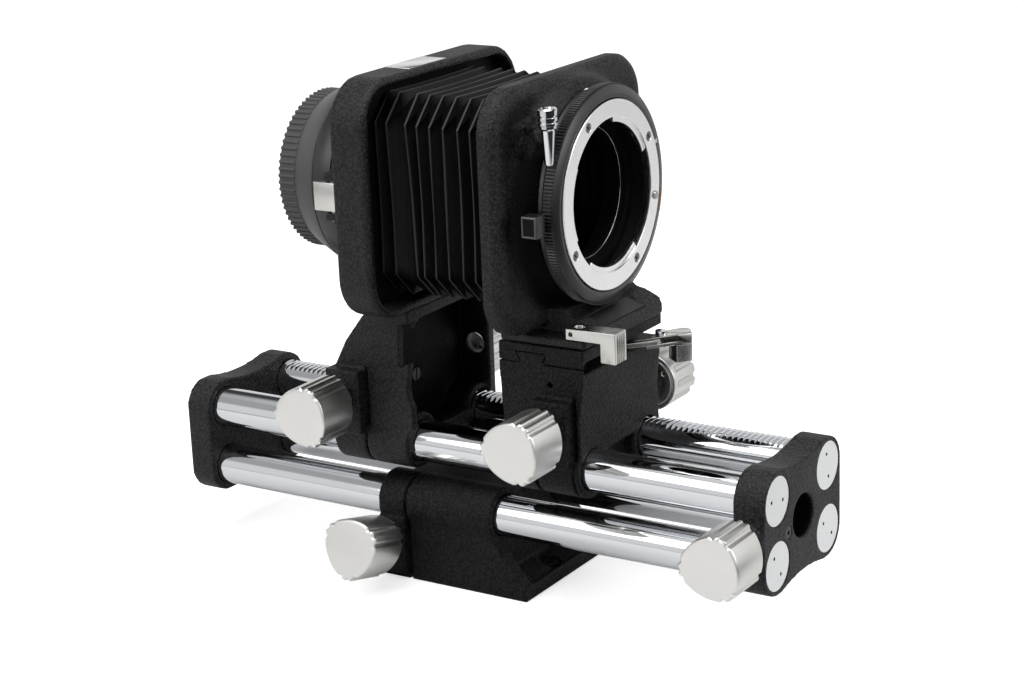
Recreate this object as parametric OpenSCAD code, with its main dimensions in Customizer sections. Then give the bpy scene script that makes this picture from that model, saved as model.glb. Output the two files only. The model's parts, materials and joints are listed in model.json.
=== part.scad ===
// Macro bellows unit on four round rails. Millimetres. Z is up, the rails run
// along Y, the lens side faces -Y and the lock knobs are on -X.
// The origin is the mouth of the tripod socket, in the base's bottom face.

/* [Rails] */
// Diameter of each round rail
rail_d = 13; // [11:0.5:14]
// Distance between the two rails of a pair, centre to centre
rail_gap_x = 34; // [32:0.5:38]
// Height of the lower rails' axes above the foot's bottom face
rail_low_z = 24.5; // [23:0.5:27]
// Height of the upper rails above the lower ones, centre to centre
rail_rise = 20; // [19:0.5:23]
// Length of rail that shows between the two end plates
rail_free = 192; // [180:1:230]

/* [End plates] */
// Thickness of the front end plate
front_plate_t = 10; // [9:0.5:14]
// Thickness of the rear end plate
rear_plate_t = 9; // [8:0.5:12]
// Material around each rail at the plates' edges
lobe_wall = 2.4; // [2:0.1:4]
// Radius of the accessory rod's bore in the front plate
rod_bore_r = 6.25; // [4:0.05:7]
// Radius of the silver discs over the rail ends
disc_r = 7.4; // [7:0.1:8]

/* [Base] */
// Length of the foot along the rails
foot_len = 64; // [58:1:72]
// Width of the foot
foot_w = 48.8; // [46:0.2:56]
// Length of the barrels that the lower rails slide in
base_barrel = 41.5; // [36:0.5:46]
// Radius of the thread's core in the tripod socket
socket_r = 3.175; // [3.175, 4.75]
// Tilt of the base's lock knob, outer end up, in degrees
base_knob_tilt = 14; // [0:1:20]

/* [Standards] */
// Width of both carriages
carriage_w = 48; // [46:0.5:54]
// Where the front carriage's pinion stands along the rails
front_y = -43; // [-60:1:-40]
// Number of rack teeth between the two pinions
pinion_spacing = 37; // [35:1:44]
// Width of the two frames
frame_w = 86; // [82:1:92]
// Height of the optical axis above the foot's bottom face
axis_z = 125; // [122:1:132]

/* [Knobs] */
// Radius of a lock knob at its corners
lock_knob_r = 10.4; // [9:0.1:12]
// Length of a lock knob
lock_knob_len = 15.5; // [12:0.5:20]
// Radius of a drive knob
drive_knob_r = 9.4; // [8:0.1:11]
// Length of a drive knob
drive_knob_len = 14; // [11:0.5:18]

/* [Mounts] */
// Outer radius of the lens bayonet's chromed ring
bayonet_r = 28.4; // [27.5:0.1:29]
// Radius of the hole through the bayonet's three lugs
throat_r = 22.2; // [21.5:0.1:22.8]
// Outer radius of the camera ring behind the rear frame
camera_ring_r = 29.6; // [29:0.1:31]

/* [Hidden] */
// smoothness of round faces
$fn = 64;
// running clearance of a turning or sliding shaft, on the radius
run = 0.05;
// clearance of a seated piece, on the radius
seat = 0.01;
// overlap that lets a cut pass clean through a face
eps = 0.5;

rail_r = rail_d / 2;
rail_x = rail_gap_x / 2;
rail_high_z = rail_low_z + rail_rise;
rail_mid_z = rail_low_z + rail_rise / 2;
// inner faces of the two plates
front_in_y = -104;
rear_in_y = front_in_y + rail_free;
front_out_y = front_in_y - front_plate_t;
rear_out_y = rear_in_y + rear_plate_t;
disc_t = 3;
disc_sunk = 0.2;
front_rail_y = front_out_y + disc_sunk + disc_t;
rear_rail_y = rear_out_y - disc_sunk - disc_t;
lobe_r = rail_r + lobe_wall;
plate_hx = rail_x + lobe_r;
waist_r = 58;
waist_z = rail_rise / 2 + 7.2;
plate_screw_x = -9.6;
plate_screw_z = rail_mid_z - 2.2;
plate_screw_len = 2.4;

// rack and pinion, module 0.6, 20 degree teeth
module_mm = 0.6;
teeth = 18;
press = 20;
rack_pitch = PI * module_mm;
pitch_r = module_mm * teeth / 2;
tip_r = pitch_r + 0.85 * module_mm;
root_r = pitch_r - 1.2 * module_mm;
backlash = 0.16;
rack_tip = rail_r - 0.6;
rack_pitch_z = rail_high_z + rack_tip - 0.85 * module_mm;
pinion_z = rack_pitch_z + pitch_r;
rear_y = front_y + pinion_spacing * rack_pitch;
pinion_w = 7.2;
shaft_r = 3;

// base
base_hw = foot_w / 2;
foot_hl = foot_len / 2;
barrel_r = rail_r + lobe_wall;
barrel_front = -base_barrel / 2 + 0.25;
barrel_rear = base_barrel / 2 + 0.25;
slit_w = 0.9;
base_crest = rail_low_z - rail_r - 0.6;
base_slit_y = 11;
socket_depth = 9;
bush_r = 6;
pocket_hx = 19.5;
foot_screw_y = 25.5;
foot_screw_r = 3.2;
base_lug_t = 1.8;
base_lug_w = 9.4;
base_knob_y = base_slit_y + slit_w / 2 + base_lug_w / 2 + 0.3;
base_knob_x = -base_hw - 9.1;
base_knob_z = 14.3;

// lock knobs on the -X side
lock_root_x = -34.5;
lobe_side_r = 13.6;
lobe_shift = lobe_side_r - lock_knob_r * 0.86;
flute_step = 16.5;
lock_stud_r = 2.2;
lock_neck_r = 4.2;
lock_z = rail_high_z + 14;
front_lock_y = front_y - 1.5;
rear_lock_y = rear_y + 4.3;
pad_w = 12.5;
pad_t = 4;
pad_low = rail_high_z + 2.5;
pad_high = rail_high_z + 23;
rod_knob_y = front_in_y - front_plate_t / 2;

// drive knobs on the +X side
drive_in_x = 36;
drive_boss_r = 5.6;

// front carriage, shift block and swing foot
car_hw = carriage_w / 2;
car_front = front_y - 11.8;
car_rear = front_y + 13.5;
car_top = rail_high_z + 32.9;
car_low = rail_high_z - 4;
slot_front_y = car_front - 0.2;
slot_depth = 9.5;
slot_low = car_top - 1.6;
dove_top = car_top + 3.3;
dove_front = front_y + 2.5;
dove_rear = front_y + 9.8;
dove_flare = 1.5;
shift_low = car_top + 0.3;
shift_top = car_top + 5.9;
shift_rear = front_y + 17.5;
shift_slot_top = car_top + 1.9;
slot_wall = 1.2;
gib_foot = (shift_low - car_top) * dove_flare / (dove_top - car_top);
gib_w = 4.6;
slide_gap = 0.12;
swing_y = front_y + 2;
swing_low = shift_top + 0.3;
swing_pin_r = 6;
swing_pin_low = shift_top - 2;
swing_pin_top = swing_low + 6.2;
step_z = swing_low + 2.7;
foot_x0 = -17.5;
foot_x1 = 22;
name_slope = 22;

// side walls of the open shell under the rear frame
cavity_wall = 3.2;

// where the levers and the shift block's parts stand
shift_pin_x = 1;
shift_pin_y = slot_front_y + 5.7;
lever_t = 3.4;
bar_low = slot_low + 0.7;
bar_t = 1.5;
arm_high = shift_low + 0.9;
arm_low = arm_high - lever_t;
tab_drop = 9.2;
arm_y = car_front - 1.9;
swing_lever_x = -21.3;
swing_lever_w = 6.6;
swing_lever_y = front_y - 6.5;
swing_lever_len = 16.6;
swing_lever_high = step_z + 3.8;
swing_screw_y = swing_lever_y - 3;
swing_lever_cut = 1.6;

// frames
frame_hw = frame_w / 2;
frame_low = axis_z - 37;
frame_high = axis_z + 36.4;
frame_r = 14;
front_frame_f = front_y + 3.5;
front_frame_r = front_y + 10;
front_recess_y = front_y + 7;
boss_r = bayonet_r + 6.8;
boss_front = front_y - 3.4;
rear_frame_f = rear_y - 20.7;
rear_frame_r = rear_y - 8.2;
rear_recess_y = rear_frame_f + 7.5;
recess_hw = frame_hw - 3.2;
scale_x = -4.7;
scale_hw = 9.8;
bellows_hw = frame_hw - 15;
bellows_wall = 3;

// lens mount stack, along the optical axis
mount_y = front_y - 9.5;
ring_black_r = bayonet_r + 4;
knurl_r = bayonet_r + 4.7;
collar_rear = mount_y + 1.4;
knurl_rear = mount_y + 4.5;
sleeve_r = bayonet_r + 1.5;
sleeve_rear = front_y + 6;
bore_r = throat_r + 2.9;
bayonet_in_r = throat_r + 1;
bayonet_t = 2.4;
// start and end of each bayonet lug, as angles about the optical axis
lugs = [[25, 84], [148, 206], [-125, -53]];
screw_circle = 26;
screw_angles = [31, 120, 211, 301];
pin_angle = -12;

// the bare name plate's seat in front of the ring
name_y = front_y - 7.7;
name_z = axis_z - 34;
name_top_z = axis_z - knurl_r - 0.5;

// cable socket and lens lock lever beside the ring
cable_x = -(knurl_r - 1.8);
cable_y = mount_y + 2.5;
cable_z = axis_z + 15.2;
cable_r = 2;
cable_len = 16.3;
cable_hold_z = axis_z + 21;
lock_pin_r = 1.2;
lever_x0 = -(knurl_r + 6.1);
lever_x1 = -(knurl_r + 0.9);
lever_y0 = front_y - 6.7;
lever_low = axis_z - 5;
lever_h = 6.4;
lever_root_x = -(knurl_r - 0.3);
lever_back_y = boss_front + 1.8;
lever_drop = 2.2;

// camera mount stack
housing_front = rear_frame_r;
housing_rear = rear_y + 2.6;
ring_rear = rear_y + 9.3;
camera_in_r = camera_ring_r - 10.1;
spigot_r = camera_ring_r - 2.6;
light_r = camera_ring_r - 4.6;
tab_low = axis_z - 5.4;
cap_gap = 0.3;
cap_cone_len = 10.5;
cap_rib_len = 6.2;
cap_end_r = camera_ring_r - 4.4;

// a cylinder along Y from y0 to y1, at x and z
module rod_y(x, z, r, y0, y1) {
  translate([x, y0, z])
    rotate([-90, 0, 0])
      cylinder(h = y1 - y0, r = r);
}

// a cone along Y from radius ra at y0 to rb at y1
module cone_y(x, z, ra, rb, y0, y1) {
  translate([x, y0, z])
    rotate([-90, 0, 0])
      cylinder(h = y1 - y0, r1 = ra, r2 = rb);
}

// a cylinder along X from x0 to x1, at y and z
module rod_x(y, z, r, x0, x1) {
  translate([x0, y, z])
    rotate([0, 90, 0])
      cylinder(h = x1 - x0, r = r);
}

// a box between two corners
module block(a, b) {
  translate(a)
    cube([b[0] - a[0], b[1] - a[1], b[2] - a[2]]);
}

// a profile drawn as (y, z) and run along X from x0 to x1
module along_x(x0, x1) {
  translate([x0, 0, 0])
    rotate([90, 0, 90])
      linear_extrude(height = x1 - x0)
        children();
}

// a profile drawn as (x, z) and run along Y from y0 to y1
module along_y(y0, y1) {
  translate([0, y1, 0])
    rotate([90, 0, 0])
      linear_extrude(height = y1 - y0)
        children();
}

// a ring about the optical axis
module ring_y(ro, ri, y0, y1) {
  difference() {
    rod_y(0, axis_z, ro, y0, y1);
    rod_y(0, axis_z, ri, y0 - eps, y1 + eps);
  }
}

// a rectangle with round corners, centred on x = 0 between two heights
module round_rect(hw, z0, z1, r) {
  translate([-hw + r, z0])
    square([2 * (hw - r), z1 - z0]);
  translate([-hw, z0 + r])
    square([2 * hw, z1 - z0 - 2 * r]);
  for (sx = [-1, 1])
    for (z = [z0 + r, z1 - r])
      translate([sx * (hw - r), z])
        circle(r = r);
}

// outline of an end plate, about the middle of the four rails
module plate_outline() {
  difference() {
    union() {
      square([2 * plate_hx, rail_rise], center = true);
      square([rail_gap_x, rail_rise + 2 * lobe_r], center = true);
      for (sx = [-1, 1])
        for (sz = [-1, 1])
          translate([sx * rail_x, sz * rail_rise / 2])
            circle(r = lobe_r);
    }
    for (sz = [-1, 1])
      translate([0, sz * (waist_z + waist_r)])
        circle(r = waist_r, $fn = 200);
  }
}

// an end plate between y0 and y1, with bores for the four rails
module end_plate(y0, y1) {
  difference() {
    translate([0, 0, rail_mid_z])
      along_y(y0, y1)
        plate_outline();
    for (sx = [-1, 1])
      for (z = [rail_low_z, rail_high_z])
        rod_y(sx * rail_x, z, rail_r + seat, y0 - eps, y1 + eps);
  }
}

// the seats of the discs over the rail ends
module disc_seats(y0, y1) {
  for (sx = [-1, 1])
    for (z = [rail_low_z, rail_high_z])
      rod_y(sx * rail_x, z, disc_r + seat, y0, y1);
}

// the four discs over the rail ends, with two spanner holes each
module end_discs(y0, y1, face_y, turns) {
  for (i = [0:3]) {
    x = i % 2 == 0 ? -rail_x : rail_x;
    z = i < 2 ? rail_high_z : rail_low_z;
    difference() {
      rod_y(x, z, disc_r, y0, y1);
      for (s = [-1, 1])
        rod_y(x + s * 3.7 * cos(turns[i]), z + s * 3.7 * sin(turns[i]), 0.55,
              face_y - 1, face_y + 1);
    }
  }
}

// radius of a lock knob's outline, at an angle from one of its corners
function lobe_edge(off) =
  -lobe_shift * cos(60 - off)
  + sqrt(pow(lobe_side_r, 2) - pow(lobe_shift * sin(60 - off), 2));

// outline of a lock knob: a rounded triangle with three flutes on each corner
module lobe_outline(inset) {
  difference() {
    intersection() {
      circle(r = lock_knob_r - inset);
      intersection_for(a = [60, 180, 300])
        rotate(a)
          translate([-lobe_shift, 0])
            circle(r = lobe_side_r - inset, $fn = 96);
    }
    for (a = [0, 120, 240])
      for (k = [-1, 0, 1])
        rotate(a + k * flute_step)
          translate([min(lock_knob_r, lobe_edge(abs(k) * flute_step)) + 0.7, 0])
            circle(r = 1.25 + inset / 3, $fn = 24);
  }
}

// a lock knob that stands along +Z from its root, with its neck below
module lock_knob_solid(neck, turn) {
  difference() {
    union() {
      rotate(turn)
        linear_extrude(height = lock_knob_len - 0.5)
          lobe_outline(0);
      rotate(turn)
        translate([0, 0, lock_knob_len - 0.5])
          linear_extrude(height = 0.5)
            lobe_outline(0.45);
      translate([0, 0, -neck])
        cylinder(h = neck + eps, r = lock_neck_r);
    }
    translate([0, 0, -neck - eps])
      cylinder(h = neck + eps + 11, r = lock_stud_r + seat);
  }
}

// a lock stud under that knob, len long below the knob's root
module lock_stud_solid(len) {
  translate([0, 0, -len])
    cylinder(h = len + 11, r = lock_stud_r);
}

// puts a child that stands along +Z along -X, its root at x
module point_near(x, y, z) {
  translate([x, y, z])
    rotate([0, -90, 0])
      children();
}

// puts a child on the base lock's tilted axis
module at_base_lock() {
  translate([base_knob_x, base_knob_y, base_knob_z])
    rotate([0, base_knob_tilt - 90, 0])
      children();
}

// a drive knob on its shaft, with a turned groove and a pin hole inside
module drive_knob_solid(y) {
  difference() {
    rod_x(y, pinion_z, drive_knob_r, drive_in_x, drive_in_x + drive_knob_len);
    for (i = [0:11])
      rod_x(y + (drive_knob_r + 0.5) * cos(i * 30),
            pinion_z + (drive_knob_r + 0.5) * sin(i * 30), 1.25,
            drive_in_x + 2.4, drive_in_x + drive_knob_len + eps);
    difference() {
      rod_x(y, pinion_z, drive_knob_r - 0.7, drive_in_x - eps, drive_in_x + 0.8);
      rod_x(y, pinion_z, drive_knob_r - 1.4, drive_in_x - 1, drive_in_x + 1);
    }
    rod_x(y - 5.4, pinion_z + 3.4, 0.8, drive_in_x - eps, drive_in_x + 2.5);
    rod_x(y, pinion_z, shaft_r + seat, drive_in_x - eps, drive_in_x + 9);
  }
}

// the shaft that joins a drive knob to its pinion
module drive_shaft_solid(y) {
  rod_x(y, pinion_z, shaft_r, rail_x - 9, drive_in_x + 9);
}

// one flank point of an involute tooth: radius r gives the polar angle
function inv_angle(r) =
  let (base = pitch_r * cos(press), a = r <= base ? 0 : acos(base / r))
  tan(a) * 180 / PI - a;

// a pinion at y, rolled so that its teeth stand in the gaps of the rack below
module pinion_solid(y) {
  rolled = (y - front_y) / rack_pitch;
  roll = (rolled - round(rolled)) * 360 / teeth;
  half = 90 / teeth - backlash / 2 / pitch_r * 180 / PI / 2;
  at_pitch = inv_angle(pitch_r);
  radii = [root_r, pitch_r - 0.4, pitch_r, pitch_r + 0.25, tip_r];
  pts = [for (i = [0:teeth - 1]) for (s = [-1, 1]) for (k = [0:4])
    let (r = s < 0 ? radii[k] : radii[4 - k],
         a = i * 360 / teeth - 90 - roll + s * (half + at_pitch - inv_angle(r)))
      [r * cos(a), r * sin(a)]];
  difference() {
    translate([rail_x - pinion_w / 2, y, pinion_z])
      rotate([90, 0, 90])
        linear_extrude(height = pinion_w)
          polygon(pts);
    rod_x(y, pinion_z, shaft_r + seat, rail_x - pinion_w, rail_x + pinion_w);
  }
}

// the teeth gaps of the rack, cut across the top of the far upper rail
module rack_cut() {
  groove_low = rack_pitch_z - 1.05 * module_mm;
  groove_high = rail_high_z + rail_r + 1;
  low_h = rack_pitch / 4 - (rack_pitch_z - groove_low) * tan(press);
  flat_z = rail_high_z + rack_tip;
  first = ceil((front_in_y - front_y) / rack_pitch) + 1;
  last = floor((rear_in_y - front_y) / rack_pitch) - 1;
  high_h = rack_pitch / 4 + (flat_z - rack_pitch_z) * tan(press);
  for (k = [first:last])
    translate([0, front_y + k * rack_pitch, 0])
      along_x(rail_x - rail_r, rail_x + rail_r)
        polygon([[-low_h, groove_low], [low_h, groove_low], [high_h, flat_z],
                 [high_h, groove_high], [-high_h, groove_high], [-high_h, flat_z]]);
  block([rail_x - rail_r, front_in_y + 1, flat_z],
        [rail_x + rail_r, rear_in_y - 1, groove_high]);
}

// the pocket that a pinion turns in, open to the rail below
module pinion_pocket(y) {
  rod_x(y, pinion_z, tip_r + 0.5, rail_x - pinion_w / 2 - 0.4, rail_x + pinion_w / 2 + 0.4);
  rod_x(y, pinion_z, shaft_r + run, rail_x - 9.5, drive_in_x + eps);
}

module base_block() {
  color("#1c1c1c")
    difference() {
      union() {
        along_x(-base_hw, base_hw)
          polygon([[-foot_hl, 0], [foot_hl, 0], [foot_hl, 4.2], [foot_hl - 1, 4.7],
                   [barrel_rear, base_crest], [barrel_rear, rail_low_z],
                   [barrel_front, rail_low_z], [barrel_front, base_crest],
                   [1 - foot_hl, 4.7], [-foot_hl, 4.2]]);
        for (sx = [-1, 1])
          rod_y(sx * rail_x, rail_low_z, barrel_r, barrel_front, barrel_rear);
        block([-rail_x, barrel_front, rail_low_z - 5], [rail_x, barrel_rear, rail_low_z + 5]);
        block([-base_hw - base_lug_t, barrel_rear - base_lug_w, 2],
              [-rail_x, barrel_rear, rail_low_z - 4]);
      }
      for (sx = [-1, 1])
        rod_y(sx * rail_x, rail_low_z, rail_r + run, barrel_front - eps, barrel_rear + eps);
      for (s = [-1, 1])
        along_x(-pocket_hx, pocket_hx)
          polygon([[s * (foot_hl - 1.8), 2.8], [s * (foot_hl - 10.6), 6.4],
                   [s * (foot_hl - 10.6), 40], [s * (foot_hl + 5), 40],
                   [s * (foot_hl + 5), 4.4], [s * (foot_hl - 1.4), 4.4]]);
      block([-base_hw - 5, base_slit_y - slit_w / 2, -1],
            [-base_hw + 1.6, base_slit_y + slit_w / 2, 50]);
      block([-base_hw - 5, base_slit_y - slit_w / 2, 13],
            [-rail_x + 4, base_slit_y + slit_w / 2, 50]);
      for (s = [-1, 1])
        translate([0, s * foot_screw_y, 1.2])
          cylinder(h = 9, r = foot_screw_r + 0.4);
      translate([0, 0, -eps])
        cylinder(h = socket_depth + 1 + eps, r = bush_r + seat);
      at_base_lock()
        translate([0, 0, -26])
          cylinder(h = 26, r = lock_stud_r + run);
    }
}

module tripod_bush() {
  color("#8c8c8c")
    difference() {
      cylinder(h = socket_depth + 1, r = bush_r);
      translate([0, 0, -eps])
        cylinder(h = socket_depth + eps, r = socket_r);
    }
}

module foot_screws() {
  color("#141414")
    for (s = [-1, 1])
      translate([0, s * foot_screw_y, 1.2])
        difference() {
          cylinder(h = 2.6, r = foot_screw_r);
          translate([0, 0, 1.2])
            cylinder(h = 3, r = 1.5, $fn = 6);
        }
}

module base_lock_knob() {
  color("#d4d4d4")
    at_base_lock()
      lock_knob_solid(6.2, 60);
}

module base_lock_stud() {
  color("#9a9a9a")
    at_base_lock()
      lock_stud_solid(23);
}

module rail_upper_near() {
  color("#c8c8c8")
    rod_y(-rail_x, rail_high_z, rail_r, front_rail_y, rear_rail_y);
}

module rail_upper_far() {
  color("#c8c8c8")
    difference() {
      rod_y(rail_x, rail_high_z, rail_r, front_rail_y, rear_rail_y);
      rack_cut();
    }
}

module rail_lower_near() {
  color("#c8c8c8")
    rod_y(-rail_x, rail_low_z, rail_r, front_rail_y, rear_rail_y);
}

module rail_lower_far() {
  color("#c8c8c8")
    rod_y(rail_x, rail_low_z, rail_r, front_rail_y, rear_rail_y);
}

module front_plate() {
  color("#1c1c1c")
    difference() {
      union() {
        end_plate(front_out_y, front_in_y);
        rod_x(rod_knob_y, rail_mid_z, 4.8, -plate_hx - 1.2, -plate_hx + eps);
      }
      disc_seats(front_out_y - eps, front_rail_y);
      rod_y(0, rail_mid_z, rod_bore_r, front_out_y - eps, front_in_y + eps);
      cone_y(0, rail_mid_z, rod_bore_r + 1.3, rod_bore_r - 0.2, front_out_y - eps, front_out_y + 1);
      rod_y(plate_screw_x, plate_screw_z, 1.8 + seat, front_out_y - eps, front_out_y + plate_screw_len);
      rod_x(rod_knob_y, rail_mid_z, lock_stud_r + run, -plate_hx - 3, -rod_bore_r + 1);
    }
}

module rear_plate() {
  color("#1c1c1c")
    difference() {
      end_plate(rear_in_y, rear_out_y);
      disc_seats(rear_rail_y, rear_out_y + eps);
    }
}

module front_discs() {
  color("#d0d0d0")
    end_discs(front_out_y + disc_sunk, front_rail_y, front_out_y + disc_sunk, [170, 100, 125, 140]);
}

module rear_discs() {
  color("#d0d0d0")
    end_discs(rear_rail_y, rear_out_y - disc_sunk, rear_out_y - disc_sunk, [20, 75, 150, 40]);
}

module front_plate_screw() {
  color("#101010")
    difference() {
      rod_y(plate_screw_x, plate_screw_z, 1.8, front_out_y + 0.25, front_out_y + plate_screw_len);
      rod_y(plate_screw_x, plate_screw_z, 0.8, front_out_y - 1, front_out_y + 1.4, $fn = 6);
    }
}

module rod_lock_knob() {
  color("#d4d4d4")
    point_near(lock_root_x, rod_knob_y, rail_mid_z)
      lock_knob_solid(-lock_root_x - plate_hx - 1.6, 100);
}

module rod_lock_stud() {
  color("#9a9a9a")
    point_near(lock_root_x, rod_knob_y, rail_mid_z)
      lock_stud_solid(-lock_root_x - rod_bore_r - 0.4);
}

module front_carriage() {
  color("#1c1c1c")
    difference() {
      union() {
        along_x(-car_hw, car_hw)
          polygon([[car_front + 0.4, slot_low], [car_front + 2, rail_high_z + 16],
                   [car_front + 1.6, car_low + 8], [car_rear + 2.4, car_low + 8],
                   [shift_rear - 0.3, rail_high_z + 22], [shift_rear, slot_low]]);
        block([-car_hw + 1, car_front + 6, car_low - 2], [car_hw - 1, car_rear, car_low + 9]);
        block([-car_hw, slot_front_y + slot_depth, slot_low - 1], [car_hw, shift_rear, car_top]);
        block([-car_hw, car_front + 0.4, slot_low - 1],
              [-car_hw + slot_wall, slot_front_y + slot_depth + 1, car_top]);
        for (sx = [-1, 1])
          rod_y(sx * rail_x, rail_high_z, barrel_r, car_front + 2, car_rear);
        along_x(-car_hw, car_hw)
          polygon([[dove_front, car_top - eps], [dove_rear, car_top - eps], [dove_rear, car_top],
                   [dove_rear + dove_flare, dove_top], [dove_front - dove_flare, dove_top],
                   [dove_front, car_top]]);
        block([-car_hw - pad_t, front_lock_y - pad_w / 2, pad_low],
              [-car_hw + 1, front_lock_y + pad_w / 2, pad_high]);
        rod_x(front_y, pinion_z, drive_boss_r, car_hw - 1, drive_in_x - 0.7);
      }
      for (sx = [-1, 1])
        rod_y(sx * rail_x, rail_high_z, rail_r + run, car_front - 2, shift_rear + eps);
      pinion_pocket(front_y);
      rod_x(front_lock_y, lock_z, lock_stud_r + run, -car_hw - pad_t - eps, -rail_x + 8);
      block([-car_hw - 5, front_lock_y - pad_w / 2 - slit_w, pad_low - 20],
            [-car_hw + 2, front_lock_y - pad_w / 2, pad_high + 1]);
      block([-car_hw - 5, front_lock_y + pad_w / 2, pad_low - 20],
            [-rail_x, front_lock_y + pad_w / 2 + slit_w, rail_high_z + 4]);
      rod_x(dove_front - 2.6, car_top - 6, 0.9, -car_hw - eps, -car_hw + 5);
    }
}

module front_drive_knob() {
  color("#d4d4d4")
    drive_knob_solid(front_y);
}

module front_drive_shaft() {
  color("#9a9a9a")
    drive_shaft_solid(front_y);
}

module front_pinion() {
  color("#b49a5a")
    pinion_solid(front_y);
}

module front_lock_knob() {
  color("#d4d4d4")
    point_near(lock_root_x, front_lock_y, lock_z)
      lock_knob_solid(-lock_root_x - car_hw - pad_t - 0.5, 90);
}

module front_lock_stud() {
  color("#9a9a9a")
    point_near(lock_root_x, front_lock_y, lock_z)
      lock_stud_solid(-lock_root_x - rail_x + 7);
}

module shift_block() {
  color("#1c1c1c")
    difference() {
      block([-car_hw, car_front + 0.2, shift_low], [car_hw, shift_rear, shift_top]);
      block([-car_hw + slot_wall, car_front - 1, shift_low - 1],
            [car_hw + 1, slot_front_y + slot_depth, shift_slot_top]);
      along_x(-car_hw - 1, car_hw + 1)
        polygon([[dove_front - slide_gap, shift_low - eps],
                 [dove_front - slide_gap, car_top],
                 [dove_front - dove_flare - slide_gap, dove_top + slide_gap],
                 [dove_rear + dove_flare + gib_w, dove_top + slide_gap],
                 [dove_rear + dove_flare + gib_w, shift_low - eps]]);
      translate([0, swing_y, swing_pin_low])
        cylinder(h = 20, r = swing_pin_r + seat);
      translate([shift_pin_x, shift_pin_y, shift_low - 2])
        cylinder(h = 20, r = 1.5 + seat);
    }
}

module shift_gib() {
  color("#262626")
    along_x(-car_hw, car_hw)
      polygon([[dove_rear + slide_gap + gib_foot, shift_low],
               [dove_rear + dove_flare + gib_w - seat, shift_low],
               [dove_rear + dove_flare + gib_w - seat, dove_top + 0.1],
               [dove_rear + dove_flare + slide_gap + 0.05, dove_top + 0.1]]);
}

module swing_pin() {
  color("#9a9a9a")
    translate([0, swing_y, swing_pin_low])
      cylinder(h = swing_pin_top - swing_pin_low, r = swing_pin_r);
}

module shift_lever_pin() {
  color("#9a9a9a")
    translate([shift_pin_x, shift_pin_y, slot_low + 0.4])
      cylinder(h = shift_top - slot_low - 0.6, r = 1.5);
}

module shift_lever_bar() {
  color("#c4c4c4")
    difference() {
      union() {
        translate([0, 0, bar_low])
          linear_extrude(height = bar_t)
            polygon([[shift_pin_x + 0.4, shift_pin_y - 2], [shift_pin_x + 2.2, shift_pin_y + 0.4],
                     [12, arm_y - 0.4], [17.4, arm_y - 0.4], [17.4, arm_y - 3.4],
                     [11.4, arm_y - 3.4]]);
        rod_z(shift_pin_x, shift_pin_y, 3, bar_low, bar_low + bar_t);
      }
      translate([shift_pin_x, shift_pin_y, bar_low - 1])
        cylinder(h = 5, r = 1.5 + run);
    }
}

module shift_lever() {
  color("#d8d8d8")
    difference() {
      union() {
        translate([0, 0, arm_low])
          linear_extrude(height = lever_t)
            polygon([[9.4, arm_y - 0.5], [18.5, arm_y], [25.2, arm_y - 4.2], [26.1, arm_y - 5.6],
                     [25.6, arm_y - 7.2], [21.6, arm_y - 9.9]]);
        translate([0, 0, arm_high - tab_drop])
          linear_extrude(height = tab_drop)
            polygon([[21.2, arm_y - 1.7], [25.2, arm_y - 4.2], [26.1, arm_y - 5.6],
                     [25.6, arm_y - 7.2], [21.6, arm_y - 9.9], [17.4, arm_y - 6.6]]);
      }
      block([0, arm_y - 20, bar_low - 0.02], [17.5, arm_y + 5, bar_low + bar_t + 0.02]);
      translate([16.4, arm_y - 1.9, bar_low])
        cylinder(h = 9, r = 1.1 + seat);
    }
}

module shift_lever_screw() {
  color("#d0d0d0")
    translate([16.4, arm_y - 1.9, bar_low + bar_t + 0.1])
      difference() {
        union() {
          cylinder(h = arm_high - bar_low - bar_t, r = 1.1);
          translate([0, 0, arm_high - bar_low - bar_t - 0.1])
            cylinder(h = 1.1, r = 1.8);
        }
        translate([-2.5, -0.25, arm_high - bar_low - bar_t + 0.5])
          cube([5, 0.5, 2]);
      }
}

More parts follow.
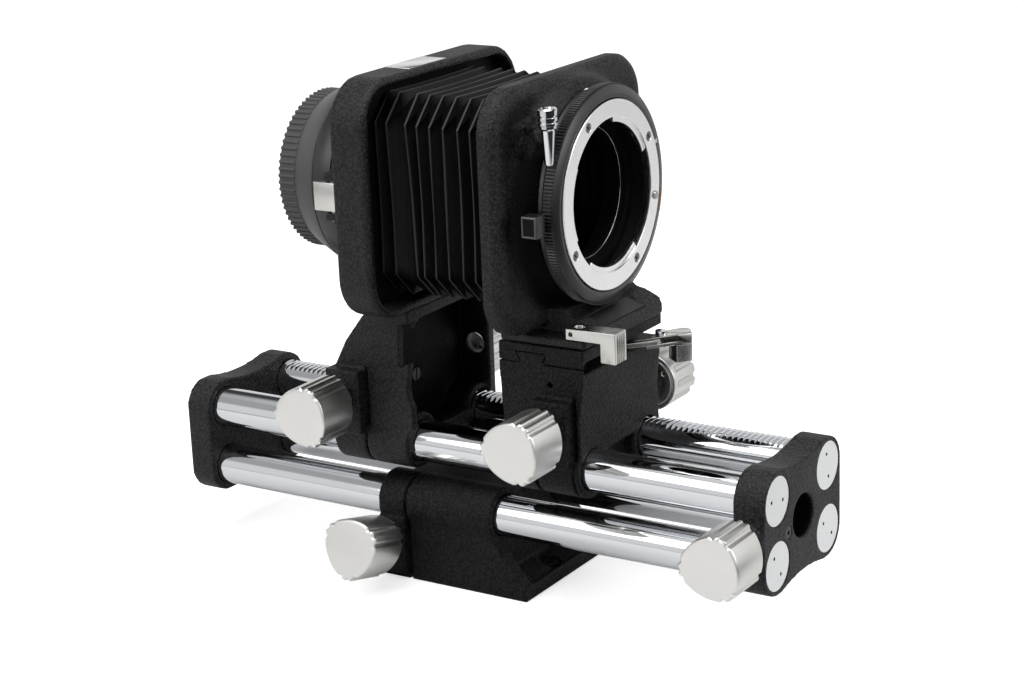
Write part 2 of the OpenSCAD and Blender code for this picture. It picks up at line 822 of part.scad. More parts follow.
module lens_standard() {
  color("#1c1c1c")
    difference() {
      union() {
        block([-car_hw, car_front - 0.4, swing_low], [car_hw, shift_rear - 0.8, step_z]);
        along_x(foot_x0, foot_x1)
          polygon([[car_front - 1.6, swing_low], [car_front - 1.6, axis_z - 38.6],
                   [name_y - 4.6, axis_z - 36.2], [name_y + 0.6, axis_z - 34],
                   [knurl_rear + 0.6, name_top_z], [boss_front + 1.5, axis_z - 31],
                   [front_frame_f, axis_z - 26],
                   [front_frame_r - 1, axis_z - 26], [front_frame_r - 1, frame_low],
                   [shift_rear - 2, frame_low - 3.4], [shift_rear - 0.8, swing_low]]);
        along_y(front_frame_f + 1.1, front_frame_r)
          round_rect(frame_hw, frame_low, frame_high, frame_r);
        along_y(front_frame_f, front_frame_f + 2)
          difference() {
            round_rect(frame_hw - 1.2, frame_low + 1.2, frame_high - 1.2, frame_r - 1);
            round_rect(frame_hw - 6, frame_low + 6, frame_high - 6, frame_r - 4);
          }
        cone_y(0, axis_z, boss_r - 2, boss_r, boss_front, boss_front + 3);
        rod_y(0, axis_z, boss_r, boss_front + 2.9, front_frame_f + 2);
        block([cable_x, cable_y, cable_hold_z], [cable_x + 5, boss_front + 2, cable_hold_z + 4]);
        block([cable_x + 4, boss_front, cable_hold_z - 3],
              [cable_x + 8, front_frame_f + 2, cable_hold_z + 4]);
      }
      rod_z(cable_x, cable_y, cable_r + seat, cable_hold_z - 5, cable_hold_z + 5);
      block([-boss_r - 3, boss_front - eps, lever_low - lever_drop - 0.2],
            [lever_root_x + 0.1, lever_back_y + 0.1, lever_low + lever_h + 0.1]);
      along_y(front_recess_y, front_frame_r + eps)
        round_rect(recess_hw, frame_low + 3.2, frame_high - 3.2, frame_r - 3);
      rod_y(0, axis_z, sleeve_r + seat, boss_front - eps, front_frame_r + eps);
      translate([0, swing_y, swing_low - eps])
        cylinder(h = swing_pin_top - swing_low + eps + 0.4, r = swing_pin_r + run);
      translate([swing_lever_x, swing_screw_y, swing_low - eps])
        cylinder(h = 10, r = 1.6 + run);
      translate([0, name_y - 2, name_z - 1.3])
        rotate([name_slope, 0, 0])
          translate([-12.3, -3.2, -0.7])
            cube([24.6, 6.4, 4]);
      block([foot_x0 - 10, swing_lever_y - 30, step_z], [foot_x0, swing_lever_y + 9, step_z + 6]);
    }
}

module name_plate() {
  color("#101010")
    translate([0, name_y - 2, name_z - 1.3])
      rotate([name_slope, 0, 0])
        translate([-12.1, -3, -0.7])
          cube([24.2, 6, 0.5]);
}

module swing_lever() {
  x0 = swing_lever_x - swing_lever_w / 2;
  x1 = x0 + swing_lever_w;
  front = swing_lever_y - swing_lever_len;
  color("#d8d8d8")
    difference() {
      union() {
        translate([0, 0, swing_lever_high - lever_t])
          linear_extrude(height = lever_t)
            polygon([[x0, front], [x1, front], [x1, swing_lever_y - swing_lever_cut],
                     [x1 - swing_lever_cut, swing_lever_y], [x0, swing_lever_y]]);
        block([x0, front, swing_lever_high - tab_drop], [x1, front + 5, swing_lever_high]);
      }
      for (i = [0:3])
        translate([x0 + 1.5 + i * 1.2, front - 0.15, swing_lever_high - tab_drop - 1])
          cylinder(h = tab_drop + 2, r = 0.4, $fn = 16);
      translate([swing_lever_x, swing_screw_y, swing_lever_high - lever_t - 1])
        cylinder(h = lever_t + 2, r = 1.6 + seat);
      rod_x(swing_lever_y - 1.6, swing_lever_high - lever_t / 2, 0.7, x0 - eps, x0 + 3);
    }
}

module swing_lever_screw() {
  color("#b8b8b8")
    translate([swing_lever_x, swing_screw_y, swing_low + 0.3])
      cylinder(h = swing_lever_high - swing_low - 0.9, r = 1.6);
}

module mount_collar() {
  color("#181818")
    difference() {
      union() {
        cone_y(0, axis_z, ring_black_r - 0.5, ring_black_r, mount_y + 0.3, mount_y + 0.8);
        rod_y(0, axis_z, ring_black_r, mount_y + 0.8, collar_rear);
        rod_y(0, axis_z, sleeve_r, collar_rear - eps, sleeve_rear);
        rod_y(0, axis_z, ring_black_r, knurl_rear + 0.2, boss_front);
      }
      rod_y(0, axis_z, bore_r, mount_y - eps, sleeve_rear + eps);
      rod_y(0, axis_z, bayonet_r + seat, mount_y - eps, mount_y + bayonet_t);
      rod_y(screw_circle * cos(pin_angle), axis_z + screw_circle * sin(pin_angle),
            lock_pin_r + 0.3, mount_y, mount_y + 6);
    }
}

module diaphragm_ring() {
  color("#1a1a1a")
    difference() {
      ring_y(knurl_r, sleeve_r + run, collar_rear + 0.05, knurl_rear);
      for (i = [0:35])
        rod_y((knurl_r + 0.45) * cos(i * 10), axis_z + (knurl_r + 0.45) * sin(i * 10), 0.8,
              collar_rear - eps, knurl_rear + eps, $fn = 12);
    }
}

// a piece of a disc about the optical axis, between two angles
module sector_y(ri, ro, y0, y1, a0, a1) {
  intersection() {
    ring_y(ro, ri, y0, y1);
    along_y(y0, y1)
      translate([0, axis_z])
        polygon([[0, 0], for (k = [0:4]) let (a = a0 + (a1 - a0) * k / 4)
                   [1.4 * ro * cos(a), 1.4 * ro * sin(a)]]);
  }
}

module bayonet_ring() {
  color("#c6c6c6")
    difference() {
      union() {
        ring_y(bayonet_r, bayonet_in_r, mount_y, mount_y + bayonet_t);
        for (l = lugs)
          sector_y(throat_r - 0.6, bayonet_in_r + 0.3, mount_y + 0.7, mount_y + bayonet_t,
                   l[0], l[1]);
      }
      for (a = screw_angles)
        rod_y(screw_circle * cos(a), axis_z + screw_circle * sin(a), 1.5 + seat,
              mount_y - eps, mount_y + bayonet_t + eps);
      rod_y(screw_circle * cos(pin_angle), axis_z + screw_circle * sin(pin_angle),
            lock_pin_r + run, mount_y - eps, mount_y + bayonet_t + eps);
    }
}

module bayonet_screws() {
  color("#9c9c9c")
    for (a = screw_angles)
      difference() {
        rod_y(screw_circle * cos(a), axis_z + screw_circle * sin(a), 1.5,
              mount_y + 0.15, mount_y + bayonet_t);
        translate([screw_circle * cos(a), 0, axis_z + screw_circle * sin(a)])
          for (t = [0, 90])
            rotate([0, t + a, 0])
              block([-1, mount_y - 1, -0.18], [1, mount_y + 0.8, 0.18]);
      }
}

module lens_lock_pin() {
  color("#b4b4b4")
    rod_y(screw_circle * cos(pin_angle), axis_z + screw_circle * sin(pin_angle), lock_pin_r,
          mount_y - 0.6, mount_y + 5.9);
}

module baffle_tube() {
  color("#0e0e0e") {
    ring_y(bore_r - seat, throat_r - 0.9, mount_y + bayonet_t + 5, sleeve_rear);
    ring_y(throat_r - 0.4, throat_r - 2.4, mount_y + bayonet_t + 6.5, mount_y + bayonet_t + 8);
  }
}

module cable_socket() {
  color("#cfcfcf")
    difference() {
      union() {
        translate([cable_x, cable_y, cable_z])
          cylinder(h = cable_len - 3, r = cable_r);
        for (step = [[5.8, 5, 2.5], [5.4, 4.3, 2.8], [3.6, 2.5, 2.8], [1.8, 0, 2.9]])
          rod_z(cable_x, cable_y, step[2], cable_z + cable_len - step[0],
                cable_z + cable_len - step[1]);
        rod_z(cable_x, cable_y, 2.5, cable_z + cable_len - 5.1, cable_z + cable_len - 0.4);
      }
      rod_z(cable_x, cable_y, 1.6, cable_z + cable_len - 7, cable_z + cable_len + 1);
    }
}

module lens_lock_lever() {
  color("#151515") {
    block([lever_x0, lever_y0, lever_low], [lever_x1, boss_front - 0.3, lever_low + lever_h]);
    block([lever_x0, lever_y0, lever_low], [-boss_r - 0.4, lever_y0 + 5, lever_low + lever_h]);
    block([-boss_r - 0.6, boss_front - 0.5, lever_low], [lever_root_x, lever_back_y, lever_low + lever_h]);
  }
}

module front_bellows_frame() {
  color("#141414")
    along_y(front_recess_y + 0.01, front_recess_y + 1.4)
      difference() {
        round_rect(recess_hw - 4, frame_low + 7, frame_high - 7, 6);
        round_rect(bellows_hw - 2, axis_z - bellows_hw + 2, axis_z + bellows_hw - 2, 3);
      }
}

module rear_bellows_frame() {
  color("#141414")
    along_y(rear_recess_y - 1.4, rear_recess_y - 0.01)
      difference() {
        round_rect(recess_hw - 0.5, frame_low + 4, frame_high - 3.3, frame_r - 6);
        round_rect(bellows_hw - 2, axis_z - bellows_hw + 2, axis_z + bellows_hw - 2, 3);
      }
}

module bellows() {
  y0 = front_recess_y + 1.6;
  y1 = rear_recess_y - 1.6;
  folds = 9;
  fold = (y1 - y0) / folds;
  color("#101010")
    difference() {
      union() {
        along_y(y0, y1)
          square_at(bellows_hw - 2.6);
        for (i = [0:folds - 1])
          along_y(y0 + (i + 0.3) * fold, y0 + (i + 0.7) * fold)
            square_at(bellows_hw);
      }
      along_y(y0 - eps, y1 + eps)
        square_at(bellows_hw - 2.6 - bellows_wall);
    }
}

// a square about the optical axis, half as wide as hw
module square_at(hw) {
  translate([-hw, axis_z - hw])
    square([2 * hw, 2 * hw]);
}

module rear_carriage() {
  low = rail_high_z - 6;
  ped_f = rear_y - 19.2;
  ped_r = rear_y + 9.8;
  cavity_rear = rear_y - 8;
  color("#1c1c1c")
    difference() {
      union() {
        difference() {
          along_x(-car_hw, car_hw)
            polygon([[ped_f, rail_high_z - 2], [ped_f, frame_low], [rear_y - 5, frame_low],
                     [rear_y - 1.8, frame_low - 3.5], [rear_y + 4.8, frame_low - 11.8],
                     [ped_r, frame_low - 21], [ped_r, rail_high_z - 2]]);
          along_y(ped_f - 1, cavity_rear)
            round_rect(car_hw - cavity_wall, rail_high_z + 3, frame_low - 3.6, 5);
        }
        block([-car_hw + 1, ped_f + 2, low], [car_hw - 1, ped_r, rail_high_z]);
        for (sx = [-1, 1])
          rod_y(sx * rail_x, rail_high_z, barrel_r, ped_f + 1.5, ped_r);
        block([-car_hw - pad_t, rear_lock_y - pad_w / 2, pad_low],
              [-car_hw + 1, rear_lock_y + pad_w / 2, pad_high]);
        rod_x(rear_y, pinion_z, drive_boss_r, car_hw - 1, drive_in_x - 0.7);
      }
      rod_x(cavity_rear - 5.7, rail_high_z + 21, 3.4, rail_x, car_hw + eps);
      along_x(-car_hw - eps, -car_hw + cavity_wall + eps)
        polygon([[ped_f - 1, frame_low - 3.6], [ped_f + 3.5, frame_low - 4.6],
                 [ped_f + 4.2, rail_high_z + 24.8], [ped_f + 0.6, rail_high_z + 27],
                 [ped_f + 0.4, rail_high_z + 25.3], [ped_f + 1.7, rail_high_z + 18.5],
                 [ped_f + 1.1, rail_high_z + 14.5], [ped_f - 1, rail_high_z + 11.1]]);
      for (sx = [-1, 1])
        rod_y(sx * rail_x, rail_high_z, rail_r + run, ped_f - 2, ped_r + eps);
      pinion_pocket(rear_y);
      rod_x(rear_lock_y, lock_z, lock_stud_r + run, -car_hw - pad_t - eps, -rail_x + 8);
      block([-car_hw - 5, rear_lock_y - pad_w / 2 - slit_w, low - 5],
            [-car_hw + 2, rear_lock_y - pad_w / 2, pad_high + 1]);
      block([-car_hw - 5, rear_lock_y - pad_w / 2 - slit_w, low - 5],
            [-rail_x, rear_lock_y - pad_w / 2, rail_high_z + 4]);
      rod_y(-5, rail_high_z + 17, 2.2 + seat, ped_f, cavity_rear + 2.5);
    }
}

module rear_cavity_screw() {
  color("#121212")
    difference() {
      rod_y(-5, rail_high_z + 17, 2.2, rear_y - 8.3, rear_y - 5.5);
      block([-5.3, rear_y - 10, rail_high_z + 10], [-4.7, rear_y - 7.8, rail_high_z + 25]);
    }
}

module rear_drive_knob() {
  color("#d4d4d4")
    drive_knob_solid(rear_y);
}

module rear_drive_shaft() {
  color("#9a9a9a")
    drive_shaft_solid(rear_y);
}

module rear_pinion() {
  color("#b49a5a")
    pinion_solid(rear_y);
}

module rear_lock_knob() {
  color("#d4d4d4")
    point_near(lock_root_x, rear_lock_y, lock_z)
      lock_knob_solid(-lock_root_x - car_hw - pad_t - 0.5, 95);
}

module rear_lock_stud() {
  color("#9a9a9a")
    point_near(lock_root_x, rear_lock_y, lock_z)
      lock_stud_solid(-lock_root_x - rail_x + 7);
}

module rear_frame() {
  color("#1c1c1c")
    difference() {
      union() {
        along_y(rear_frame_f + 1, rear_frame_r)
          round_rect(frame_hw, frame_low, frame_high, frame_r);
        along_y(rear_frame_f, rear_frame_f + 2)
          round_rect(frame_hw - 1, frame_low + 1, frame_high - 1, frame_r - 1);
      }
      along_y(rear_frame_f - eps, rear_recess_y)
        round_rect(recess_hw, frame_low + 3.4, frame_high - 2.8, frame_r - 5);
      rod_y(0, axis_z, light_r, rear_frame_f, rear_frame_r + eps);
      scale_seat(0.01, 2);
    }
}

// the bare plate on the rear frame's level top: its seat or itself
module scale_seat(grow, rise) {
  block([scale_x - scale_hw - grow, rear_frame_f + 2.3 - grow, frame_high - 0.5],
        [scale_x + scale_hw + grow, rear_frame_r - 1 + grow, frame_high + rise]);
}

module scale_plate() {
  color("#bdbdbd")
    scale_seat(0, 0.15);
}

module rear_housing() {
  color("#1c1c1c")
    difference() {
      union() {
        rod_y(0, axis_z, camera_ring_r + 0.4, housing_front, housing_rear);
        for (z = [tab_low - 2.9, tab_low + 9.3])
          block([-camera_ring_r - 3.4, housing_rear - 5, z], [-camera_ring_r + 4, housing_rear, z + 2.6]);
      }
      rod_y(0, axis_z, light_r, housing_front - eps, housing_rear + eps);
      rod_y(0, axis_z, spigot_r + run, housing_front + 2, housing_rear + eps);
      rod_z(-camera_ring_r - 1.9, housing_rear - 2.6, 0.9 + seat, tab_low - 6, tab_low + 14);
      block([-camera_ring_r - 4, housing_rear - 5.4, tab_low - 0.3],
            [-camera_ring_r + 0.2, housing_rear + 1, tab_low + 9.3]);
    }
}

// a cylinder along Z from z0 to z1, at x and y
module rod_z(x, y, r, z0, z1) {
  translate([x, y, z0])
    cylinder(h = z1 - z0, r = r);
}

module ring_release() {
  color("#d8d8d8")
    difference() {
      block([-camera_ring_r - 3.2, housing_rear - 4.6, tab_low],
            [-camera_ring_r - 0.6, ring_rear - 2.6, tab_low + 9]);
      rod_z(-camera_ring_r - 1.9, housing_rear - 2.6, 0.9 + run, tab_low - 6, tab_low + 14);
    }
}

module ring_release_pin() {
  color("#9a9a9a")
    rod_z(-camera_ring_r - 1.9, housing_rear - 2.6, 0.9, tab_low - 2.9, tab_low + 11.9);
}

module camera_ring() {
  color("#1a1a1a")
    difference() {
      union() {
        rod_y(0, axis_z, camera_ring_r, housing_rear + 0.3, ring_rear);
        rod_y(0, axis_z, spigot_r, housing_front + 2.4, housing_rear + 1);
      }
      rod_y(0, axis_z, camera_in_r + 2.5 + seat, housing_front + 2, ring_rear + eps);
    }
}

module camera_bayonet() {
  color("#c6c6c6")
    difference() {
      union() {
        rod_y(0, axis_z, camera_in_r + 2.5, housing_front + 2.4, ring_rear + 5);
        intersection() {
          rod_y(0, axis_z, camera_in_r + 3.9, ring_rear + 3.4, ring_rear + 5);
          for (a = [20, 140, 260])
            translate([0, 0, axis_z])
              rotate([0, a, 0])
                block([10, ring_rear + 3, -11], [40, ring_rear + 6, 11]);
        }
      }
      rod_y(0, axis_z, camera_in_r, housing_front, ring_rear + 6);
    }
}

module rear_cap() {
  cap_f = ring_rear + cap_gap;
  mid = cap_f + cap_cone_len;
  end = mid + cap_rib_len;
  color("#222222")
    difference() {
      union() {
        cone_y(0, axis_z, camera_ring_r - 0.3, cap_end_r - 0.2, cap_f, mid);
        rod_y(0, axis_z, cap_end_r, mid - 0.2, end);
      }
      rod_y(0, axis_z, cap_end_r - 1.2, cap_f - eps, end - 2);
      for (i = [0:35])
        rod_y((cap_end_r + 0.6) * cos(i * 10), axis_z + (cap_end_r + 0.6) * sin(i * 10), 1,
              mid, end + eps, $fn = 12);
    }
  for (a = [80, 200, 320])
    color("#222222")
      intersection() {
        ring_y(cap_end_r - 1, camera_in_r + 2.8, cap_f + 0.4, cap_f + 2.6);
        translate([0, 0, axis_z])
          rotate([0, a, 0])
            block([10, cap_f, -8], [40, cap_f + 5, 8]);
      }
}

base_block();
tripod_bush();
foot_screws();
base_lock_knob();
base_lock_stud();
rail_upper_near();
rail_upper_far();
rail_lower_near();
rail_lower_far();
front_plate();
rear_plate();
front_discs();
rear_discs();
front_plate_screw();
rod_lock_knob();
rod_lock_stud();
front_carriage();
front_drive_knob();
front_drive_shaft();
front_pinion();
front_lock_knob();
front_lock_stud();
shift_block();
shift_gib();
swing_pin();
shift_lever();
shift_lever_bar();
shift_lever_screw();
shift_lever_pin();
lens_standard();
name_plate();
swing_lever();
swing_lever_screw();
mount_collar();
diaphragm_ring();
bayonet_ring();
bayonet_screws();
lens_lock_pin();
baffle_tube();
cable_socket();
lens_lock_lever();
front_bellows_frame();
bellows();
rear_bellows_frame();
rear_carriage();
rear_drive_knob();
rear_drive_shaft();
rear_pinion();
rear_lock_knob();
rear_lock_stud();
rear_cavity_screw();
rear_frame();
scale_plate();
rear_housing();
camera_ring();
camera_bayonet();
ring_release();
ring_release_pin();
rear_cap();
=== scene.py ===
"""Dresses the macro bellows unit: castings, rails, knobs, lens mount, bellows and rear cap.

Sizes are millimetres unless a name says otherwise. Meshes are built in millimetres in the
frame of the CAD part (Z up, rails along Y, lens side towards -Y) and scaled to metres last.
"""

import json
import logging
import math
from collections.abc import Callable, Iterable, Sequence
from dataclasses import Field, dataclass, field
from enum import Enum

import bmesh
import bpy
from mathutils import Matrix, Vector


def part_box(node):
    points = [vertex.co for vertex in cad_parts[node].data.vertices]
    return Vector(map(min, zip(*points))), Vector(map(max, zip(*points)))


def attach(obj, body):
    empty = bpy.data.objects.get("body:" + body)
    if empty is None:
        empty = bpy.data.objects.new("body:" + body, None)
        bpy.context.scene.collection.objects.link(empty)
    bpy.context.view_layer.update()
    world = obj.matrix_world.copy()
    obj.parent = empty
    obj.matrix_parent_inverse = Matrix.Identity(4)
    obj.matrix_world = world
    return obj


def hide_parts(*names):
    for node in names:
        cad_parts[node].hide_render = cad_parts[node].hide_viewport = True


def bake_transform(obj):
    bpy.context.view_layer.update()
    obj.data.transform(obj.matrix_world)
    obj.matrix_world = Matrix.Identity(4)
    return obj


MM = 0.001
LOG = logging.getLogger("bellows_unit")

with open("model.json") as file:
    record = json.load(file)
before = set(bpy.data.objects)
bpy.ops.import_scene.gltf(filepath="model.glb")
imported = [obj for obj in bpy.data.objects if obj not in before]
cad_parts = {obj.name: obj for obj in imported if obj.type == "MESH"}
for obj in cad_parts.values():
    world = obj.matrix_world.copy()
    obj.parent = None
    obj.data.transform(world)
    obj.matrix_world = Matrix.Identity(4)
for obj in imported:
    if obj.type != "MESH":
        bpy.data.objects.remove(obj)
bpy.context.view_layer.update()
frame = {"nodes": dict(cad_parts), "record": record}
BODY_OF = {
    node: body for body, nodes in frame["record"]["behaviour"]["bodies"].items() for node in nodes
}

# height of the optical axis above the underside of the foot
AXIS_Z = 125.0
RAILS = ("rail_upper_near", "rail_upper_far", "rail_lower_near", "rail_lower_far")
# faces of a CAD mesh that lie within this angle of each other are one plane
PLANE_ANGLE = math.radians(0.5)
# an edge of a CAD mesh that is sharper than this gets broken
EDGE_ANGLE = math.radians(40)
# a face is square to the optical axis where its normal has at least this much along it
SQUARE_ON = 0.9999

# points of a section, as pairs of sizes that the field's own comment names
Section = tuple[tuple[float, float], ...]


# ---------------------------------------------------------------- small tools


def linear(code: str) -> tuple[float, float, float, float]:
    """Turns an sRGB hex colour into linear RGBA.

    Args:
        code: the colour as "#rrggbb".

    Returns:
        Linear red, green and blue, and an alpha of 1.
    """
    parts = [int(code[i : i + 2], 16) / 255 for i in (1, 3, 5)]
    flat = [c / 12.92 if c <= 0.04045 else ((c + 0.055) / 1.055) ** 2.4 for c in parts]
    return (flat[0], flat[1], flat[2], 1.0)


def add(
    tree: bpy.types.NodeTree, kind: str, inputs: dict | None = None, **settings: object
) -> bpy.types.Node:
    """Adds a node to a tree with its settings, values and links.

    Args:
        tree: the shader or geometry tree.
        kind: the node's type name.
        inputs: socket name or number to a value, or to the output socket that feeds it.
        settings: attributes of the node itself.

    Returns:
        The new node.
    """
    node = tree.nodes.new(kind)
    for key, value in settings.items():
        setattr(node, key, value)
    for socket, value in (inputs or {}).items():
        if isinstance(value, bpy.types.NodeSocket):
            tree.links.new(value, node.inputs[socket])
        else:
            node.inputs[socket].default_value = value
    return node


def box_mm(node: str) -> tuple[Vector, Vector]:
    """Gives a CAD node's lowest and highest corner in millimetres."""
    low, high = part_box(node)
    return low / MM, high / MM


def middle_mm(node: str) -> Vector:
    """Gives the middle of a CAD node's box in millimetres."""
    low, high = box_mm(node)
    return (low + high) / 2


def put_in_scene(name: str, data: bpy.types.ID) -> bpy.types.Object:
    """Makes an object of a mesh, a light or a camera.

    Args:
        name: the object's name.
        data: what it shows.

    Returns:
        The new object, linked to the scene.
    """
    made = bpy.data.objects.new(name, data)
    bpy.context.scene.collection.objects.link(made)
    return made


class Axis(Enum):
    """The direction that a turned piece's axis points in."""

    NEAR = Matrix.Rotation(math.radians(-90), 4, "Y")
    BACK = Matrix.Rotation(math.radians(-90), 4, "X")
    UP = Matrix.Identity(4)


@dataclass
class Shape:
    """A mesh in the making: points in millimetres and the faces between them."""

    points: list[Vector] = field(default_factory=list)
    faces: list[tuple[int, ...]] = field(default_factory=list)

    def ring(self, points: Iterable[Vector]) -> list[int]:
        """Adds points.

        Args:
            points: the points, in order.

        Returns:
            Their numbers in the shape.
        """
        first = len(self.points)
        self.points.extend(points)
        return list(range(first, len(self.points)))

    def bridge(self, a: list[int], b: list[int], closed: bool = True) -> None:
        """Joins two rings of equal length with four-sided faces.

        Args:
            a: the numbers of the one ring's points.
            b: the numbers of the other ring's points.
            closed: whether the last points join the first ones.
        """
        count = len(a) if closed else len(a) - 1
        for i in range(count):
            j = (i + 1) % len(a)
            self.faces.append((a[i], a[j], b[j], b[i]))

    def skin(self, rings: list[list[int]], ends: bool = True) -> None:
        """Joins rings one after the other.

        Args:
            rings: the numbers of each ring's points.
            ends: whether the first and the last ring get a face of their own.
        """
        for a, b in zip(rings, rings[1:]):
            self.bridge(a, b)
        if ends:
            self.faces.append(tuple(reversed(rings[0])))
            self.faces.append(tuple(rings[-1]))

    def block(self, low: Sequence[float], high: Sequence[float]) -> None:
        """Adds a box.

        Args:
            low: its lowest corner.
            high: its highest corner.
        """
        x0, y0, z0 = low
        x1, y1, z1 = high
        flat = [(x0, y0), (x1, y0), (x1, y1), (x0, y1)]
        self.skin([self.ring(Vector((x, y, z)) for x, y in flat) for z in (z0, z1)])

    def take_in(self, other: "Shape") -> None:
        """Adds another shape's points and faces.

        Args:
            other: the shape to copy from.
        """
        base = len(self.points)
        self.points.extend(other.points)
        self.faces.extend(tuple(i + base for i in face) for face in other.faces)

    def place(self, matrix: Matrix) -> "Shape":
        """Moves every point by a matrix."""
        self.points = [matrix @ p for p in self.points]
        return self

    def build(self, name: str) -> bpy.types.Object:
        """Makes the object, in metres, with doubles merged and faces outward.

        Args:
            name: the object's name.

        Returns:
            The new object.
        """
        mesh = bpy.data.meshes.new(name)
        mesh.from_pydata([tuple(p * MM) for p in self.points], [], self.faces)
        tidy_mesh(mesh)
        return put_in_scene(name, mesh)


def tidy_mesh(mesh: bpy.types.Mesh, merge_mm: float = 0.002) -> None:
    """Merges doubles and turns every face outward.

    Args:
        mesh: the mesh, in metres.
        merge_mm: how near to each other two points are one.
    """
    work = bmesh.new()
    work.from_mesh(mesh)
    bmesh.ops.remove_doubles(work, verts=work.verts, dist=merge_mm * MM)
    bmesh.ops.recalc_face_normals(work, faces=work.faces)
    work.to_mesh(mesh)
    work.free()


def turned(profile: Sequence[tuple[float, float]], centre: Vector, axis: Axis, steps: int = 128) -> Shape:
    """Turns a profile about an axis.

    Args:
        profile: pairs of a place along the axis and a radius there, all round the section.
        centre: the point that the places are measured from.
        axis: the direction of the axis.
        steps: how many sides a full turn has.

    Returns:
        The turned shape. A profile that starts and ends at a radius of 0 closes there, and
        any other is joined from its last point to its first.
    """
    shape = Shape()
    angles = [math.tau * i / steps for i in range(steps)]
    rings = [
        shape.ring(Vector((r * math.cos(a), r * math.sin(a), s)) for a in angles) for s, r in profile
    ]
    shape.skin(rings, ends=False)
    if profile[0][1] > 0:
        shape.bridge(rings[-1], rings[0])
    return shape.place(Matrix.Translation(centre) @ axis.value)


def freeze(made: bpy.types.Object) -> bpy.types.Object:
    """Turns an object's modifiers into a plain mesh and removes them.

    Args:
        made: the object.

    Returns:
        The same object.
    """
    graph = bpy.context.evaluated_depsgraph_get()
    graph.update()
    mesh = bpy.data.meshes.new_from_object(made.evaluated_get(graph), depsgraph=graph)
    made.modifiers.clear()
    made.data = mesh
    return made


def copy_of(node: str, name: str) -> bpy.types.Object:
    """Copies a CAD node's mesh.

    Args:
        node: the CAD node.
        name: the new object's name.

    Returns:
        The new object, with its triangles merged and without a material.
    """
    mesh = frame["nodes"][node].data.copy()
    mesh.materials.clear()
    tidy_mesh(mesh)
    return put_in_scene(name, mesh)


def softened(node: str, name: str, width: float) -> bpy.types.Object:
    """Copies a machined CAD piece and breaks its sharp edges, as tumbling or filing does.

    Args:
        node: the CAD node.
        name: the new object's name.
        width: how far each edge is cut back.

    Returns:
        The new object, a plain mesh.
    """
    made = copy_of(node, name)
    work = bmesh.new()
    work.from_mesh(made.data)
    bmesh.ops.dissolve_limit(work, angle_limit=PLANE_ANGLE, verts=work.verts, edges=work.edges)
    work.to_mesh(made.data)
    work.free()
    bevel = made.modifiers.new("broken edge", "BEVEL")
    bevel.width = width * MM
    bevel.segments = 2
    bevel.limit_method = "ANGLE"
    bevel.angle_limit = EDGE_ANGLE
    bevel.use_clamp_overlap = False
    return freeze(made)


def shade(made: bpy.types.Object, angle: float = 32) -> None:
    """Shades a mesh smooth, with edges over an angle in degrees kept sharp."""
    made.data.shade_smooth()
    made.data.set_sharp_from_angle(angle=math.radians(angle))


def keep_faces_flat(made: bpy.types.Object) -> None:
    """Shades the faces square to the optical axis flat, so that a turned face reflects evenly.

    Args:
        made: the piece, shaded smooth.
    """
    for face in made.data.polygons:
        if abs(face.normal.y) > SQUARE_ON:
            face.use_smooth = False


def hand_over(made: bpy.types.Object, nodes: Sequence[str], finish: bpy.types.Material) -> None:
    """Gives a finished piece its material and its body, and hides the CAD nodes it stands for.

    Args:
        made: the piece.
        nodes: the CAD nodes that it replaces; its body is the first one's.
        finish: its material, for a piece that has none yet.
    """
    if not made.data.materials:
        made.data.materials.append(finish)
    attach(made, BODY_OF[nodes[0]])
    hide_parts(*nodes)
    LOG.info("%s: %d faces, for %s", made.name, len(made.data.polygons), ", ".join(nodes))


def lay_on(made: bpy.types.Object, carrier: str, finish: bpy.types.Material) -> None:
    """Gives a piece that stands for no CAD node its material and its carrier's body.

    Args:
        made: the piece.
        carrier: the CAD node that it lies on.
        finish: its material.
    """
    made.data.materials.append(finish)
    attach(made, BODY_OF[carrier])
    LOG.info("%s: %d faces, on %s", made.name, len(made.data.polygons), carrier)


# ------------------------------------------------------------------- finishes


@dataclass(frozen=True)
class Finish:
    """A surface finish that builds one material."""

    name: str
    colour: str
    roughness: float

    def start(self) -> tuple[bpy.types.NodeTree, bpy.types.Node, bpy.types.NodeSocket]:
        """Makes the material with its colour and roughness.

        Returns:
            Its tree, its shader, and the object coordinates that the patterns are laid on.
        """
        made = bpy.data.materials.new(self.name)
        made.use_nodes = True
        tree = made.node_tree
        shader = tree.nodes["Principled BSDF"]
        shader.inputs["Base Color"].default_value = linear(self.colour)
        shader.inputs["Roughness"].default_value = self.roughness
        made.diffuse_color = linear(self.colour)
        return tree, shader, add(tree, "ShaderNodeTexCoord").outputs["Object"]

    def end(
        self, tree: bpy.types.NodeTree, shader: bpy.types.Node, feeds: dict[str, bpy.types.NodeSocket]
    ) -> bpy.types.Material:
        """Links the patterns to the shader.

        Args:
            tree: the material's tree.
            shader: its shader.
            feeds: the shader's sockets, each with the output that feeds it.

        Returns:
            The finished material.
        """
        for socket, output in feeds.items():
            tree.links.new(output, shader.inputs[socket])
        return bpy.data.materials[self.name]

    def build(self) -> bpy.types.Material:
        """Builds the material."""
        raise NotImplementedError


